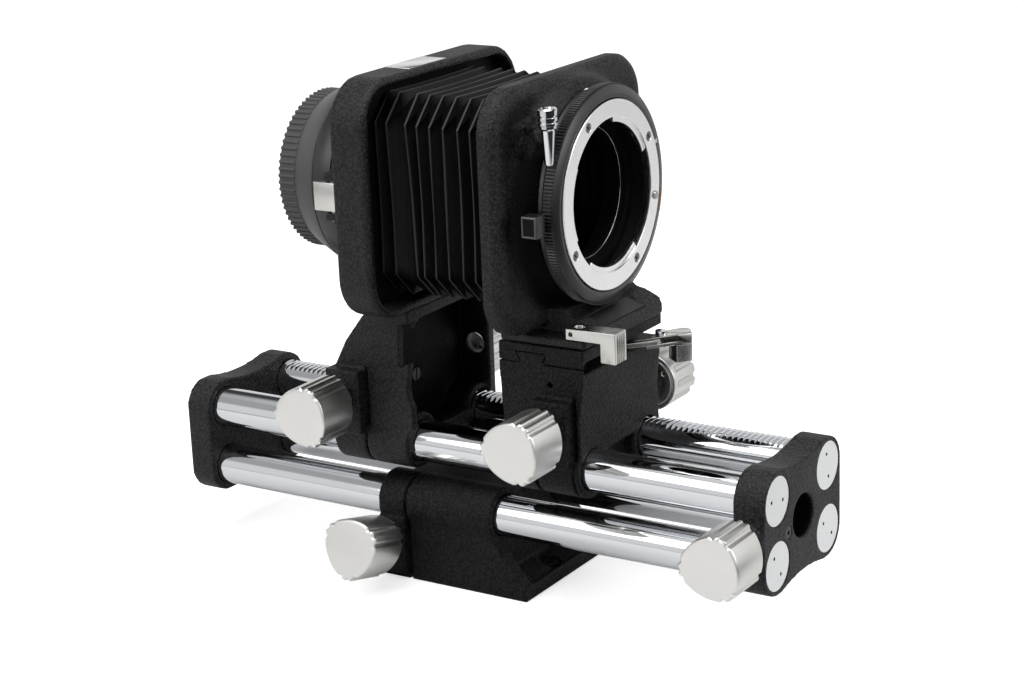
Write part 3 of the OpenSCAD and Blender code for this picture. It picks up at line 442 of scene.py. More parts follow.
@dataclass(frozen=True)
class CrinkleEnamel(Finish):
    """Stoved wrinkle enamel on cast aluminium: fine hard grains that each catch a point of light."""

    name: str = "black crinkle enamel on cast aluminium"
    colour: str = "#0c0c0d"
    roughness: float = 0.5
    grain_colour: str = "#333335"
    specular: float = 0.27
    # painted shade: where the mesh says so, the enamel is painted near black with little gloss, for hollows
    # that light hardly reaches
    shaded_colour: str = "#030303"
    shaded_specular: float = 0.04
    # the real grains are about 0.4 mm; drawn at 0.6 mm so that they show
    grain: float = 0.6
    # size of the cells between wrinkles, as a part of a grain
    cell: float = 1.3
    # heights of the pattern that count as the foot and the top of a grain
    foot_and_top: tuple[float, float] = (-0.12, 0.38)
    height: float = 0.13
    # patches that shine a little more and a little less than the rest
    patch: float = 14.0
    more_gloss: float = 0.05
    less_gloss: float = 0.09

    def build(self) -> bpy.types.Material:
        """Builds grains from cells broken up by noise, in colour, gloss and bump.

        Returns:
            The material, which reads the mesh attribute "painted_shade", the depth of its painted shade.
        """
        tree, shader, place = self.start()
        noise = add(
            tree,
            "ShaderNodeTexNoise",
            {"Vector": place, "Scale": 1 / (self.grain * MM), "Detail": 2.0, "Roughness": 0.6},
        )
        cells = add(
            tree,
            "ShaderNodeTexVoronoi",
            {"Vector": place, "Scale": 1 / (self.grain * self.cell * MM), "Smoothness": 0.6},
            feature="SMOOTH_F1",
        )
        grains = add(
            tree,
            "ShaderNodeMath",
            {0: noise.outputs["Fac"], 1: cells.outputs["Distance"]},
            operation="SUBTRACT",
        )
        foot, top = self.foot_and_top
        level = add(
            tree, "ShaderNodeMapRange", {"Value": grains.outputs[0], "From Min": foot, "From Max": top}
        )
        paint = add(
            tree,
            "ShaderNodeMix",
            {"Factor": level.outputs[0], "A": linear(self.colour), "B": linear(self.grain_colour)},
            data_type="RGBA",
        )
        # painted shade: the attribute turns the colour near black and takes the gloss away
        painted_shade = add(tree, "ShaderNodeAttribute", attribute_name="painted_shade")
        tone = add(
            tree,
            "ShaderNodeMix",
            {"Factor": painted_shade.outputs["Fac"], "A": paint.outputs["Result"], "B": linear(self.shaded_colour)},
            data_type="RGBA",
        )
        shine = add(
            tree,
            "ShaderNodeMapRange",
            {"Value": painted_shade.outputs["Fac"], "To Min": self.specular, "To Max": self.shaded_specular},
        )
        patches = add(
            tree, "ShaderNodeTexNoise", {"Vector": place, "Scale": 1 / (self.patch * MM), "Detail": 1.0}
        )
        gloss = add(
            tree,
            "ShaderNodeMapRange",
            {
                "Value": patches.outputs["Fac"],
                "To Min": self.roughness - self.more_gloss,
                "To Max": self.roughness + self.less_gloss,
            },
        )
        bump = add(
            tree,
            "ShaderNodeBump",
            {"Height": level.outputs[0], "Distance": self.height * MM, "Strength": 0.85},
        )
        feeds = {
            "Base Color": tone.outputs["Result"],
            "Specular IOR Level": shine.outputs[0],
            "Roughness": gloss.outputs[0],
            "Normal": bump.outputs[0],
        }
        return self.end(tree, shader, feeds)


@dataclass(frozen=True)
class Metal(Finish):
    """Bare or anodised metal, from blasted satin to a polish, with a fine grain and handling marks."""

    name: str = "satin anodised aluminium"
    colour: str = "#d9d8d5"
    roughness: float = 0.34
    # spacing and depth of the grain that turning or blasting leaves
    grain: float = 0.35
    height: float = 0.008
    # how far smudges raise and lower the roughness, their size, and the least roughness
    spread: float = 0.06
    smudge: float = 11.0
    smoothest: float = 0.02

    def build(self) -> bpy.types.Material:
        """Builds a metal whose gloss varies with wide smudges, and whose grain fades in and out.

        Returns:
            The material.
        """
        tree, shader, place = self.start()
        grain, smudge = (
            add(tree, "ShaderNodeTexNoise", {"Vector": place, "Scale": 1 / (size * MM), "Detail": 2.0})
            for size in (self.grain, self.smudge)
        )
        marks = add(
            tree,
            "ShaderNodeMath",
            {0: grain.outputs["Fac"], 1: smudge.outputs["Fac"]},
            operation="MULTIPLY",
        )
        gloss = add(
            tree,
            "ShaderNodeMapRange",
            {
                "Value": smudge.outputs["Fac"],
                "From Min": 0.3,
                "From Max": 0.7,
                "To Min": max(self.roughness - self.spread, self.smoothest),
                "To Max": self.roughness + self.spread,
            },
        )
        bump = add(
            tree,
            "ShaderNodeBump",
            {"Height": marks.outputs[0], "Distance": self.height * MM, "Strength": 0.6},
        )
        shader.inputs["Metallic"].default_value = 1.0
        return self.end(tree, shader, {"Roughness": gloss.outputs[0], "Normal": bump.outputs[0]})


@dataclass(frozen=True)
class BlackAnodising(Finish):
    """Black anodised, fine-turned aluminium: even dark grey with a broad soft sheen."""

    name: str = "black anodised aluminium"
    colour: str = "#161617"
    roughness: float = 0.34
    height: float = 0.01
    specular: float = 0.6
    # tool lines 0.1 mm apart on the real ring, drawn at 0.3 mm
    grain: float = 0.3
    patch: float = 9.0
    more_gloss: float = 0.06
    less_gloss: float = 0.08

    def build(self) -> bpy.types.Material:
        """Builds an even dark surface with a faint tool grain.

        Returns:
            The material.
        """
        tree, shader, place = self.start()
        grain = add(
            tree, "ShaderNodeTexNoise", {"Vector": place, "Scale": 1 / (self.grain * MM), "Detail": 1.0}
        )
        wide = add(
            tree, "ShaderNodeTexNoise", {"Vector": place, "Scale": 1 / (self.patch * MM), "Detail": 2.0}
        )
        gloss = add(
            tree,
            "ShaderNodeMapRange",
            {
                "Value": wide.outputs["Fac"],
                "To Min": self.roughness - self.more_gloss,
                "To Max": self.roughness + self.less_gloss,
            },
        )
        bump = add(
            tree, "ShaderNodeBump", {"Height": grain.outputs["Fac"], "Distance": self.height * MM}
        )
        shader.inputs["Specular IOR Level"].default_value = self.specular
        return self.end(tree, shader, {"Roughness": gloss.outputs[0], "Normal": bump.outputs[0]})


@dataclass(frozen=True)
class RubberedCloth(Finish):
    """Rubber-coated cotton of the bellows: matt black, a close weave, paler on the outer folds, with painted
    shade in the tucked corners.
    """

    name: str = "rubber coated bellows cloth"
    colour: str = "#060606"
    roughness: float = 0.6
    # the paler colour of the outer folds
    outer_fold_colour: str = "#3b3a38"
    # threads are about 0.25 mm apart on the real cloth; here a wave repeats every 1.2 mm, which
    # is about twice this size, so that the weave shows
    thread: float = 0.6
    # what the wave texture's scale is divided by
    wave_turn: float = 6.28
    # creases of the worn cloth, and how much deeper they are than the weave
    crease: float = 5.0
    crease_height: float = 5.0
    height: float = 0.05
    # gloss of the open cloth, and the lower gloss of the corners tucked in between the folds, as painted
    # shade
    specular: float = 0.25
    tuck_shade_specular: float = 0.02

    def build(self) -> bpy.types.Material:
        """Builds crossed threads, a paler tone along the outer folds and painted shade in the tucked corners.

        Returns:
            The material, which reads the mesh attributes "fold" and "tuck_shade", the painted shade of the
            tucked corners.
        """
        tree, shader, place = self.start()
        scale = 1 / (self.thread * MM) / self.wave_turn
        around, along = (
            add(
                tree,
                "ShaderNodeTexWave",
                {"Vector": place, "Scale": scale, "Distortion": 0.6},
                bands_direction=way,
            ).outputs["Fac"]
            for way in ("Z", "Y")
        )
        weave = add(tree, "ShaderNodeMath", {0: around, 1: along}, operation="ADD")
        creases = add(
            tree, "ShaderNodeTexNoise", {"Vector": place, "Scale": 1 / (self.crease * MM), "Detail": 3.0}
        )
        relief = add(
            tree,
            "ShaderNodeMath",
            {0: creases.outputs["Fac"], 1: self.crease_height, 2: weave.outputs[0]},
            operation="MULTIPLY_ADD",
        )
        fold = add(tree, "ShaderNodeAttribute", attribute_name="fold")
        tone = add(
            tree,
            "ShaderNodeMix",
            {"Factor": fold.outputs["Fac"], "A": linear(self.colour), "B": linear(self.outer_fold_colour)},
            data_type="RGBA",
        )
        # painted shade: the tucked corners lose their gloss
        tuck_shade = add(tree, "ShaderNodeAttribute", attribute_name="tuck_shade")
        shine = add(
            tree,
            "ShaderNodeMapRange",
            {"Value": tuck_shade.outputs["Fac"], "To Min": self.specular, "To Max": self.tuck_shade_specular},
        )
        bump = add(
            tree,
            "ShaderNodeBump",
            {"Height": relief.outputs[0], "Distance": self.height * MM, "Strength": 0.5},
        )
        feeds = {
            "Base Color": tone.outputs["Result"],
            "Specular IOR Level": shine.outputs[0],
            "Normal": bump.outputs[0],
        }
        return self.end(tree, shader, feeds)


@dataclass(frozen=True)
class MouldedPlastic(Finish):
    """Moulded ABS of the rear cap: dark grey with a slight waxy sheen and a spark-eroded grain."""

    name: str = "moulded ABS"
    colour: str = "#464648"
    roughness: float = 0.42
    specular: float = 0.55
    # size and depth of the grain that the mould leaves
    grain: float = 0.4
    height: float = 0.02
    more_gloss: float = 0.06
    less_gloss: float = 0.08

    def build(self) -> bpy.types.Material:
        """Builds a dark plastic with a fine mould grain.

        Returns:
            The material.
        """
        tree, shader, place = self.start()
        grain = add(
            tree, "ShaderNodeTexNoise", {"Vector": place, "Scale": 1 / (self.grain * MM), "Detail": 2.0}
        )
        bump = add(
            tree,
            "ShaderNodeBump",
            {"Height": grain.outputs["Fac"], "Distance": self.height * MM, "Strength": 0.7},
        )
        gloss = add(
            tree,
            "ShaderNodeMapRange",
            {
                "Value": grain.outputs["Fac"],
                "To Min": self.roughness - self.more_gloss,
                "To Max": self.roughness + self.less_gloss,
            },
        )
        shader.inputs["Specular IOR Level"].default_value = self.specular
        return self.end(tree, shader, {"Roughness": gloss.outputs[0], "Normal": bump.outputs[0]})


@dataclass(frozen=True)
class MarkPaint(Finish):
    """Filled index paint: flat colour, slightly uneven where it was wiped into its groove."""

    name: str = "white index paint"
    colour: str = "#e9e7e0"
    roughness: float = 0.5
    # size and depth of the unevenness
    grain: float = 0.5
    height: float = 0.02

    def build(self) -> bpy.types.Material:
        """Builds a flat paint with a slight unevenness.

        Returns:
            The material.
        """
        tree, shader, place = self.start()
        grain = add(tree, "ShaderNodeTexNoise", {"Vector": place, "Scale": 1 / (self.grain * MM)})
        bump = add(
            tree, "ShaderNodeBump", {"Height": grain.outputs["Fac"], "Distance": self.height * MM}
        )
        return self.end(tree, shader, {"Normal": bump.outputs[0]})


def coat(finish: Finish) -> Field:
    """Gives a field whose value is the finish's material, built together with its class."""
    return field(default_factory=finish.build)


@dataclass
class Paints:
    """Every finish of the unit, built once."""

    enamel: bpy.types.Material = coat(CrinkleEnamel())
    # painted shade: the lower castings have the same enamel painted darker and less glossy, as less light
    # falls on them from above
    shaded_enamel: bpy.types.Material = coat(
        CrinkleEnamel(
            "black crinkle enamel painted darker as shade",
            "#09090a",
            grain_colour="#29292b",
            specular=0.15,
        )
    )
    # blasted before it was anodised: pale, with a soft wide highlight
    satin: bpy.types.Material = coat(Metal())
    lever: bpy.types.Material = coat(
        Metal("brushed nickel plated brass", "#c9c8c4", 0.26, 0.3, 0.006, 0.05)
    )
    # a near mirror that shows the room in dark and bright bands
    chrome: bpy.types.Material = coat(Metal("polished hard chrome", "#d4d6d9", 0.06, 0.8, 0.002, 0.03))
    mount: bpy.types.Material = coat(Metal("satin chromed brass", "#ececec", 0.24, 0.25, 0.004, 0.05))
    disc: bpy.types.Material = coat(Metal("turned aluminium disc", "#e0e1e2", 0.22, 0.25, 0.006, 0.05))
    steel: bpy.types.Material = coat(Metal("ground steel", "#a3a4a6", 0.25, 0.3, 0.006, 0.05))
    brass: bpy.types.Material = coat(Metal("machined brass", "#c9a45c", 0.3, 0.4, 0.01, 0.05))
    black_metal: bpy.types.Material = coat(BlackAnodising())
    blued: bpy.types.Material = coat(Metal("blued screw steel", "#77787c", 0.36, 0.3, 0.006, 0.05))
    screw: bpy.types.Material = coat(BlackAnodising("blackened steel screw", "#121213", 0.4))
    # swallows light, so that the throat goes black; in the discs' spanner holes it stands as painted shade
    matt_black: bpy.types.Material = coat(
        BlackAnodising("matt black optical paint, also painted shade in holes", "#070707", 0.7, 0.02, 0.15)
    )
    cloth: bpy.types.Material = coat(RubberedCloth())
    plastic: bpy.types.Material = coat(MouldedPlastic())
    white: bpy.types.Material = coat(MarkPaint())
    # painted edge highlight: a pale grey laid on the lock lever's frame faces
    pale_edges: bpy.types.Material = coat(BlackAnodising("black anodising with a painted edge highlight", "#55565a", 0.4))
    amber: bpy.types.Material = coat(MarkPaint("amber index paint", "#e08a1e"))


# ------------------------------------------------------------------- castings


@dataclass
class RailClearance:
    """The four rails' bores, which a casting's skin keeps clear of."""

    radius: float = 6.5
    room: float = 0.1
    # how far inside the bore a point may lie and still belong to its wall
    reach: float = 0.5

    def open_up(self, mesh: bpy.types.Mesh) -> None:
        """Moves points that lie on or just inside a rail's bore out to it.

        Args:
            mesh: a casting's mesh, in millimetres.
        """
        lines = [middle_mm(rail) for rail in RAILS]
        for vertex in mesh.vertices:
            for line in lines:
                off = Vector((vertex.co.x - line.x, 0, vertex.co.z - line.z))
                if self.radius - self.reach < off.length < self.radius + self.room:
                    off.normalize()
                    vertex.co.x = line.x + off.x * (self.radius + self.room)
                    vertex.co.z = line.z + off.z * (self.radius + self.room)


@dataclass
class Casting:
    """A casting: the CAD solid with the soft edges and fillets that a mould and enamel give it.

    The solid is wrapped in an even skin and relaxed, so that every edge and inner corner
    rounds. A zone can be relaxed further, for a face that swells like a cushion.
    """

    node: str
    voxel: float
    passes: int
    zone: Callable[[Vector], bool] | None = None
    zone_passes: int = 0
    clearance: RailClearance | None = None
    # gives each point of the skin its painted shade, from 0 to 1, kept as a mesh attribute
    painted_shade: Callable[[Vector], float] | None = None
    # how far each pass moves a point towards its neighbours' middle
    ease: float = 0.5

    def relax(self, made: bpy.types.Object) -> None:
        """Rounds the skin, and its zone further.

        Args:
            made: the wrapped solid, in millimetres.
        """
        evenly = made.modifiers.new("relax", "SMOOTH")
        evenly.factor = self.ease
        evenly.iterations = self.passes
        if self.zone:
            group = made.vertex_groups.new(name="zone")
            group.add([v.index for v in made.data.vertices if self.zone(v.co)], 1.0, "REPLACE")
            swell = made.modifiers.new("swell", "SMOOTH")
            swell.factor = self.ease
            swell.iterations = self.zone_passes
            swell.vertex_group = "zone"
        freeze(made)
        made.vertex_groups.clear()

    def build(self, paint: bpy.types.Material) -> None:
        """Makes the casting and hands it over.

        Args:
            paint: its enamel.
        """
        made = copy_of(self.node, self.node + "_cast")
        made.data.transform(Matrix.Scale(1 / MM, 4))
        skin = made.modifiers.new("skin", "REMESH")
        skin.mode = "VOXEL"
        skin.voxel_size = self.voxel
        freeze(made)
        self.relax(made)
        if self.clearance:
            self.clearance.open_up(made.data)
        # stores the painted shade, by which the enamel darkens
        if self.painted_shade:
            depth = made.data.attributes.new("painted_shade", "FLOAT", "POINT")
            for vertex, value in zip(made.data.vertices, depth.data):
                value.value = self.painted_shade(vertex.co)
        made.data.transform(Matrix.Scale(MM, 4))
        made.data.shade_smooth()
        hand_over(made, [self.node], paint)


@dataclass
class Castings:
    """All the enamelled castings of the unit."""

    # the front frame's face: how far back it swells, the rings' seat and the foot below it
    zone_rear: float = -36.9
    ring_r: float = 33.0
    frame_foot_z: float = 89.0
    foot_half: float = 23.5
    neck_z: float = 93.5
    # lowest and highest X and Z of the cable socket's hold, which keeps its own form
    socket_hold: tuple[float, float, float, float] = (-34.0, -21.0, 141.0, 152.0)
    # painted shade in the hollow round the rings: its rear, its radius and how wide its edge fades
    hollow_rear: float = -38.5
    hollow_r: float = 39.6
    hollow_fade: float = 5.5
    # light from above: how high over the axis it takes the painted shade away, over which height that
    # fades in, and the part of the painted shade that it leaves
    lit_above: float = 30.0
    lit_fade: float = 14.0
    lit_least: float = 0.25
    # half-width, lowest and highest point of the rear carriage's open shell, its mouth and the depth of
    # painted shade inside it
    shell_box: tuple[float, float, float] = (21.6, 47.0, 84.6)
    shell_y: float = 7.8
    shell_dark: float = 0.75
    # the bore in the middle of the front plate, whose wall gets full painted shade
    bore_z: float = 34.5
    bore_r: float = 6.7
    # the castings whose enamel is painted darker as shade
    shaded_castings: tuple[str, ...] = ("base_block", "front_carriage", "shift_block")
    axis_z: float = AXIS_Z

    def pillow(self, point: Vector) -> bool:
        """Tells whether the front frame's skin swells at a point.

        Args:
            point: a point of the skin.

        Returns:
            True on the face between the frame's rim and the rings.
        """
        x0, x1, z0, z1 = self.socket_hold
        ahead = point.y < self.zone_rear
        above = point.z > (self.neck_z if abs(point.x) < self.foot_half else self.frame_foot_z)
        outside = math.hypot(point.x, point.z - self.axis_z) > self.ring_r
        held = x0 < point.x < x1 and z0 < point.z < z1
        return ahead and above and outside and not held

    def painted_shade(self, point: Vector) -> float:
        """Tells how much painted shade a point gets in the hollow round the lens rings.

        Args:
            point: a point of the front frame's skin.

        Returns:
            The depth of painted shade, from 0 to 1.
        """
        if point.y > self.hollow_rear or point.z < self.neck_z:
            return 0.0
        out = math.hypot(point.x, point.z - self.axis_z)
        part = min(max((self.hollow_r - out) / self.hollow_fade, 0.0), 1.0)
        lit = min(max((self.axis_z + self.lit_above - point.z) / self.lit_fade, self.lit_least), 1.0)
        return part * part * (3 - 2 * part) * lit

    def shell_shade(self, point: Vector) -> float:
        """Tells how much painted shade a point gets in the open shell under the rear frame.

        Args:
            point: a point of the rear carriage's skin.

        Returns:
            The depth of painted shade, from 0 at the mouth to the shell's full shade.
        """
        half, low, high = self.shell_box
        if abs(point.x) > half or not low < point.z < high:
            return 0.0
        return min(max((point.y - self.shell_y) / self.hollow_fade, 0.0), self.shell_dark)

    def bore_shade(self, point: Vector) -> float:
        """Gives the painted shade of the front plate's bore: 1 on its wall, else 0."""
        return 1.0 if math.hypot(point.x, point.z - self.bore_z) < self.bore_r else 0.0

    def build(self, paints: Paints) -> None:
        """Makes every casting, each with a skin as fine and as relaxed as its edges need.

        Args:
            paints: the unit's finishes.
        """
        clear = RailClearance()
        whole = [
            Casting("base_block", 0.5, 5, clearance=clear),
            Casting("front_plate", 0.45, 5, clearance=clear, painted_shade=self.bore_shade),
            Casting("rear_plate", 0.5, 6, clearance=clear),
            Casting("front_carriage", 0.42, 4, clearance=clear),
            Casting("shift_block", 0.45, 3),
            Casting("lens_standard", 0.56, 4, self.pillow, 150, painted_shade=self.painted_shade),
            Casting("rear_carriage", 0.45, 4, clearance=clear, painted_shade=self.shell_shade),
            Casting("rear_frame", 0.6, 8),
            Casting("rear_housing", 0.5, 4),
        ]
        for casting in whole:
            casting.build(paints.shaded_enamel if casting.node in self.shaded_castings else paints.enamel)


# ---------------------------------------------------------------------- knobs


@dataclass
class LockKnob:
    """A lock knob: a rounded triangle of turned aluminium with three flutes on each corner.

    Its place sets its root and its axis, its turn is in degrees about that axis, and its neck
    is how far the thinner part reaches back towards the clamp.
    """

    node: str
    place: Matrix
    turn: float
    neck: float
    length: float = 15.5
    # radius at a corner, radius of the arc between two corners, and how far from the axis the
    # middle of that arc lies, as a part of the corner's radius
    corner_r: float = 10.4
    side_r: float = 13.6
    side_mid: float = 0.86
    # angle between flutes, their radius, and how far outside the outline their centres lie
    flute_step: float = 16.5
    flute_r: float = 1.25
    flute_out: float = 0.7
    # rounded rims: distance from the knob's end, and how far the outline draws in there
    back_rim: Section = ((0.0, 0.55), (0.12, 0.25), (0.45, 0.0))
    front_rim: Section = ((0.95, 0.0), (0.5, 0.1), (0.2, 0.35), (0.05, 0.65), (0.0, 1.1))
    neck_r: float = 4.2
    neck_edge: float = 0.2
    neck_root: float = 0.3
    steps: int = 360
    neck_steps: int = 48

    def lobe_at(self, off: float) -> float:
        """Gives a lobe's radius without its flutes.

        Args:
            off: degrees from the lobe's corner.

        Returns:
            The radius of the corner or of the side, whichever is less.
        """
        centre = self.side_r - self.corner_r * self.side_mid
        rest = math.radians(60 - abs(off))
        side = -centre * math.cos(rest) + math.sqrt(self.side_r**2 - (centre * math.sin(rest)) ** 2)
        return min(self.corner_r, side)

    def radius_at(self, angle: float) -> float:
        """Gives the outline's radius.

        Args:
            angle: degrees from a corner.

        Returns:
            The radius there, with the flutes cut in.
        """
        near = (angle + 60) % 120 - 60
        radius = self.lobe_at(near)
        for k in (-1, 0, 1):
            far = self.lobe_at(abs(k) * self.flute_step) + self.flute_out
            off = math.radians(near - k * self.flute_step)
            if abs(far * math.sin(off)) < self.flute_r:
                cut = far * math.cos(off) - math.sqrt(self.flute_r**2 - (far * math.sin(off)) ** 2)
                radius = min(radius, cut)
        return radius

    def build(self, finish: bpy.types.Material) -> None:
        """Makes the knob with rounded rims, and its neck, and hands it over.

        Args:
            finish: its metal.
        """
        shape = Shape()
        angles = [360 * i / self.steps for i in range(self.steps)]
        outline = [(math.radians(a + self.turn), self.radius_at(a)) for a in angles]
        rims = [*self.back_rim, *((self.length - back, inset) for back, inset in self.front_rim)]
        rings = [
            shape.ring(Vector(((r - inset) * math.cos(a), (r - inset) * math.sin(a), z)) for a, r in outline)
            for z, inset in rims
        ]
        shape.skin(rings)
        neck = [
            (-self.neck, 0.0),
            (-self.neck, self.neck_r - self.neck_edge),
            (-self.neck + self.neck_edge, self.neck_r),
            (self.neck_root, self.neck_r),
            (self.neck_root, 0.0),
        ]
        shape.take_in(turned(neck, Vector(), Axis.UP, self.neck_steps))
        made = shape.place(self.place).build(self.node + "_turned")
        shade(made, 28)
        hand_over(made, [self.node], finish)


@dataclass
class Knobs:
    """The four lock knobs and the two drive knobs."""

    # X of the knobs' roots, of the clamp pads and of the front plate's side
    root_x: float = -34.5
    pad_x: float = -28.0
    plate_x: float = -25.9
    # how far off them the knobs stand, as they are screwed back and forth
    gap: float = 0.5
    plate_gap: float = 1.6
    # the foot's knob: its root, the degrees that its outer end is tilted up by, and its neck
    base_place: tuple[float, float, float] = (-33.5, 16.45, 14.3)
    base_tilt: float = 14.0
    base_neck: float = 6.2
    # how far the drive knobs' sharp edges are cut back
    drive_edge: float = 0.3

    def near(self, stud: str) -> Matrix:
        """Gives the place of a knob whose axis points along -X, in line with its stud."""
        line = middle_mm(stud)
        return Matrix.Translation((self.root_x, line.y, line.z)) @ Axis.NEAR.value

    def build(self, paints: Paints) -> None:
        """Makes the knobs.

        Args:
            paints: the unit's finishes.
        """
        lean = Matrix.Rotation(math.radians(self.base_tilt - 90), 4, "Y")
        tilted = Matrix.Translation(self.base_place) @ lean
        pad_neck = self.pad_x - self.root_x - self.gap
        plate_neck = self.plate_x - self.root_x - self.plate_gap
        for knob in (
            LockKnob("base_lock_knob", tilted, 60, self.base_neck),
            LockKnob("rod_lock_knob", self.near("rod_lock_stud"), 100, plate_neck),
            LockKnob("front_lock_knob", self.near("front_lock_stud"), 90, pad_neck),
            LockKnob("rear_lock_knob", self.near("rear_lock_stud"), 95, pad_neck),
        ):
            knob.build(paints.satin)
        for node in ("front_drive_knob", "rear_drive_knob"):
            made = softened(node, node + "_turned", self.drive_edge)
            shade(made, 35)
            hand_over(made, [node], paints.satin)


# ------------------------------------------------------------- ribs and knurls


@dataclass
class RibBand:
    """Equal ribs round the optical axis, placed by a node tree with named sizes."""

    name: str
    count: int
    radius: float
    width: float
    height: float
    y_start: float
    y_end: float
    rib_sides: int
    axis_z: float = AXIS_Z

    def tree(self, finish: bpy.types.Material) -> bpy.types.NodeTree:
        """Builds the node tree that sets a rib at each place round the band.

        Args:
            finish: the ribs' material.

        Returns:
            The geometry tree, whose inputs are Count, Radius, Width, Height, Start, Length and Axis.
        """
        group = bpy.data.node_groups.new(self.name, "GeometryNodeTree")
        face = group.interface
        face.new_socket(name="Geometry", in_out="INPUT", socket_type="NodeSocketGeometry")
        face.new_socket(name="Count", in_out="INPUT", socket_type="NodeSocketInt")
        for size in ("Radius", "Width", "Height", "Start", "Length", "Axis"):
            face.new_socket(name=size, in_out="INPUT", socket_type="NodeSocketFloat")
        face.new_socket(name="Geometry", in_out="OUTPUT", socket_type="NodeSocketGeometry")
        given = add(group, "NodeGroupInput").outputs
        # a low ridge: a many-sided rod laid along the band and flattened to width by height
        rod = add(
            group,
            "GeometryNodeMeshCylinder",
            {"Vertices": self.rib_sides, "Radius": 1.0, "Depth": given["Length"]},
        )
        half = add(group, "ShaderNodeMath", {0: given["Width"], 1: 0.5}, operation="MULTIPLY")
        squeeze = add(group, "ShaderNodeCombineXYZ", {"X": given["Height"], "Y": half.outputs[0], "Z": 1.0})
        out = add(group, "ShaderNodeCombineXYZ", {"X": given["Radius"]})
        rib = add(
            group,
            "GeometryNodeTransform",
            {"Geometry": rod.outputs["Mesh"], "Translation": out.outputs[0], "Scale": squeeze.outputs[0]},
        )
        row = add(group, "GeometryNodeMeshLine", {"Count": given["Count"], "Offset": (0.0, 0.0, 0.0)})
        turn = add(group, "ShaderNodeMath", {0: math.tau, 1: given["Count"]}, operation="DIVIDE")
        number = add(group, "GeometryNodeInputIndex").outputs[0]
        step = add(group, "ShaderNodeMath", {0: number, 1: turn.outputs[0]}, operation="MULTIPLY")
        spin = add(group, "ShaderNodeCombineXYZ", {"Z": step.outputs[0]})
        ribs = add(
            group,
            "GeometryNodeInstanceOnPoints",
            {"Points": row.outputs["Mesh"], "Instance": rib.outputs["Geometry"], "Rotation": spin.outputs[0]},
        )
        middle = add(
            group,
            "ShaderNodeMath",
            {0: given["Length"], 1: 0.5, 2: given["Start"]},
            operation="MULTIPLY_ADD",
        )
        centre = add(group, "ShaderNodeCombineXYZ", {"Y": middle.outputs[0], "Z": given["Axis"]})
        laid = add(
            group,
            "GeometryNodeTransform",
            {
                "Geometry": ribs.outputs["Instances"],
                "Translation": centre.outputs[0],
                "Rotation": (math.radians(-90), 0.0, 0.0),
            },
        )
        both = add(group, "GeometryNodeJoinGeometry")
        group.links.new(given["Geometry"], both.inputs[0])
        group.links.new(laid.outputs[0], both.inputs[0])
        real = add(group, "GeometryNodeRealizeInstances", {"Geometry": both.outputs[0]})
        dressed = add(group, "GeometryNodeSetMaterial", {"Geometry": real.outputs[0], "Material": finish})
        add(group, "NodeGroupOutput", {"Geometry": dressed.outputs[0]})
        return group

    def apply(self, made: bpy.types.Object, finish: bpy.types.Material) -> bpy.types.Object:
        """Adds the ribs to an object and leaves a plain mesh.

        Args:
            made: the piece that carries the ribs.
            finish: the material of both.

        Returns:
            The same object.
        """
        ribs = made.modifiers.new(self.name, "NODES")
        ribs.node_group = self.tree(finish)
        sizes = {
            "Count": self.count,
            "Radius": self.radius * MM,
            "Width": self.width * MM,
            "Height": self.height * MM,
            "Start": self.y_start * MM,
            "Length": (self.y_end - self.y_start) * MM,
            "Axis": self.axis_z * MM,
        }
        for socket in ribs.node_group.interface.items_tree:
            if socket.in_out == "INPUT" and socket.name in sizes:
                ribs[socket.identifier] = sizes[socket.name]
        return freeze(made)


@dataclass
class IndexMark:
    """A filled index mark: a short strip of paint that follows the rings.

    It runs from its first to its last angle, in degrees from +X, and its section is a list
    of radii, each with a place along the optical axis.
    """

    name: str
    first: float
    last: float
    section: list[tuple[float, float]]
    paint: bpy.types.Material
    steps: int = 8
    axis_z: float = AXIS_Z

    def build(self, carrier: str) -> None:
        """Makes the mark and lays it on the ring.

        Args:
            carrier: the CAD node that it lies on.
        """
        shape = Shape()
        span = self.last - self.first
        turns = [math.radians(self.first + span * i / self.steps) for i in range(self.steps + 1)]
        rings = [
            shape.ring(Vector((r * math.cos(a), y, self.axis_z + r * math.sin(a))) for a in turns)
            for r, y in self.section
        ]
        for a, b in zip(rings, rings[1:] + rings[:1]):
            shape.bridge(a, b, closed=False)
        shape.faces.append(tuple(ring[0] for ring in rings))
        shape.faces.append(tuple(ring[-1] for ring in reversed(rings)))
        lay_on(shape.build(self.name), carrier, self.paint)


@dataclass
class CableSocket:
    """The cable socket: a grooved chromed head on a stem that tapers down."""

    # height over the foot of the stem, and radius
    stem: Section = ((0.0, 0.0), (0.0, 1.15), (0.3, 1.3))
    # distance below the top of the head, and radius: collar, three grooves, rim and bore
    head: Section = (
        (6.3, 2.0),
        (5.9, 2.3),
        (5.7, 2.5),
        (5.0, 2.5),
        (5.0, 2.45),
        (4.8, 2.85),
        (4.1, 2.85),
        (4.05, 2.45),
        (3.5, 2.45),
        (3.45, 2.85),
        (2.6, 2.85),
        (2.55, 2.45),
        (2.0, 2.45),
        (1.95, 2.85),
        (0.35, 2.88),
        (0.0, 2.6),
        (0.0, 1.9),
        (0.5, 1.6),
        (5.0, 1.55),
        (5.0, 0.0),
    )
    steps: int = 64

    def build(self, paints: Paints) -> None:
        """Makes the socket and hands it over.

        Args:
            paints: the unit's finishes.
        """
        low, high = box_mm("cable_socket")
        foot = Vector(((low.x + high.x) / 2, (low.y + high.y) / 2, low.z))
        top = high.z - low.z
        profile = [*self.stem, *((top - below, r) for below, r in self.head)]
        made = turned(profile, foot, Axis.UP, self.steps).build("cable_socket_turned")
        shade(made, 25)
        hand_over(made, ["cable_socket"], paints.chrome)


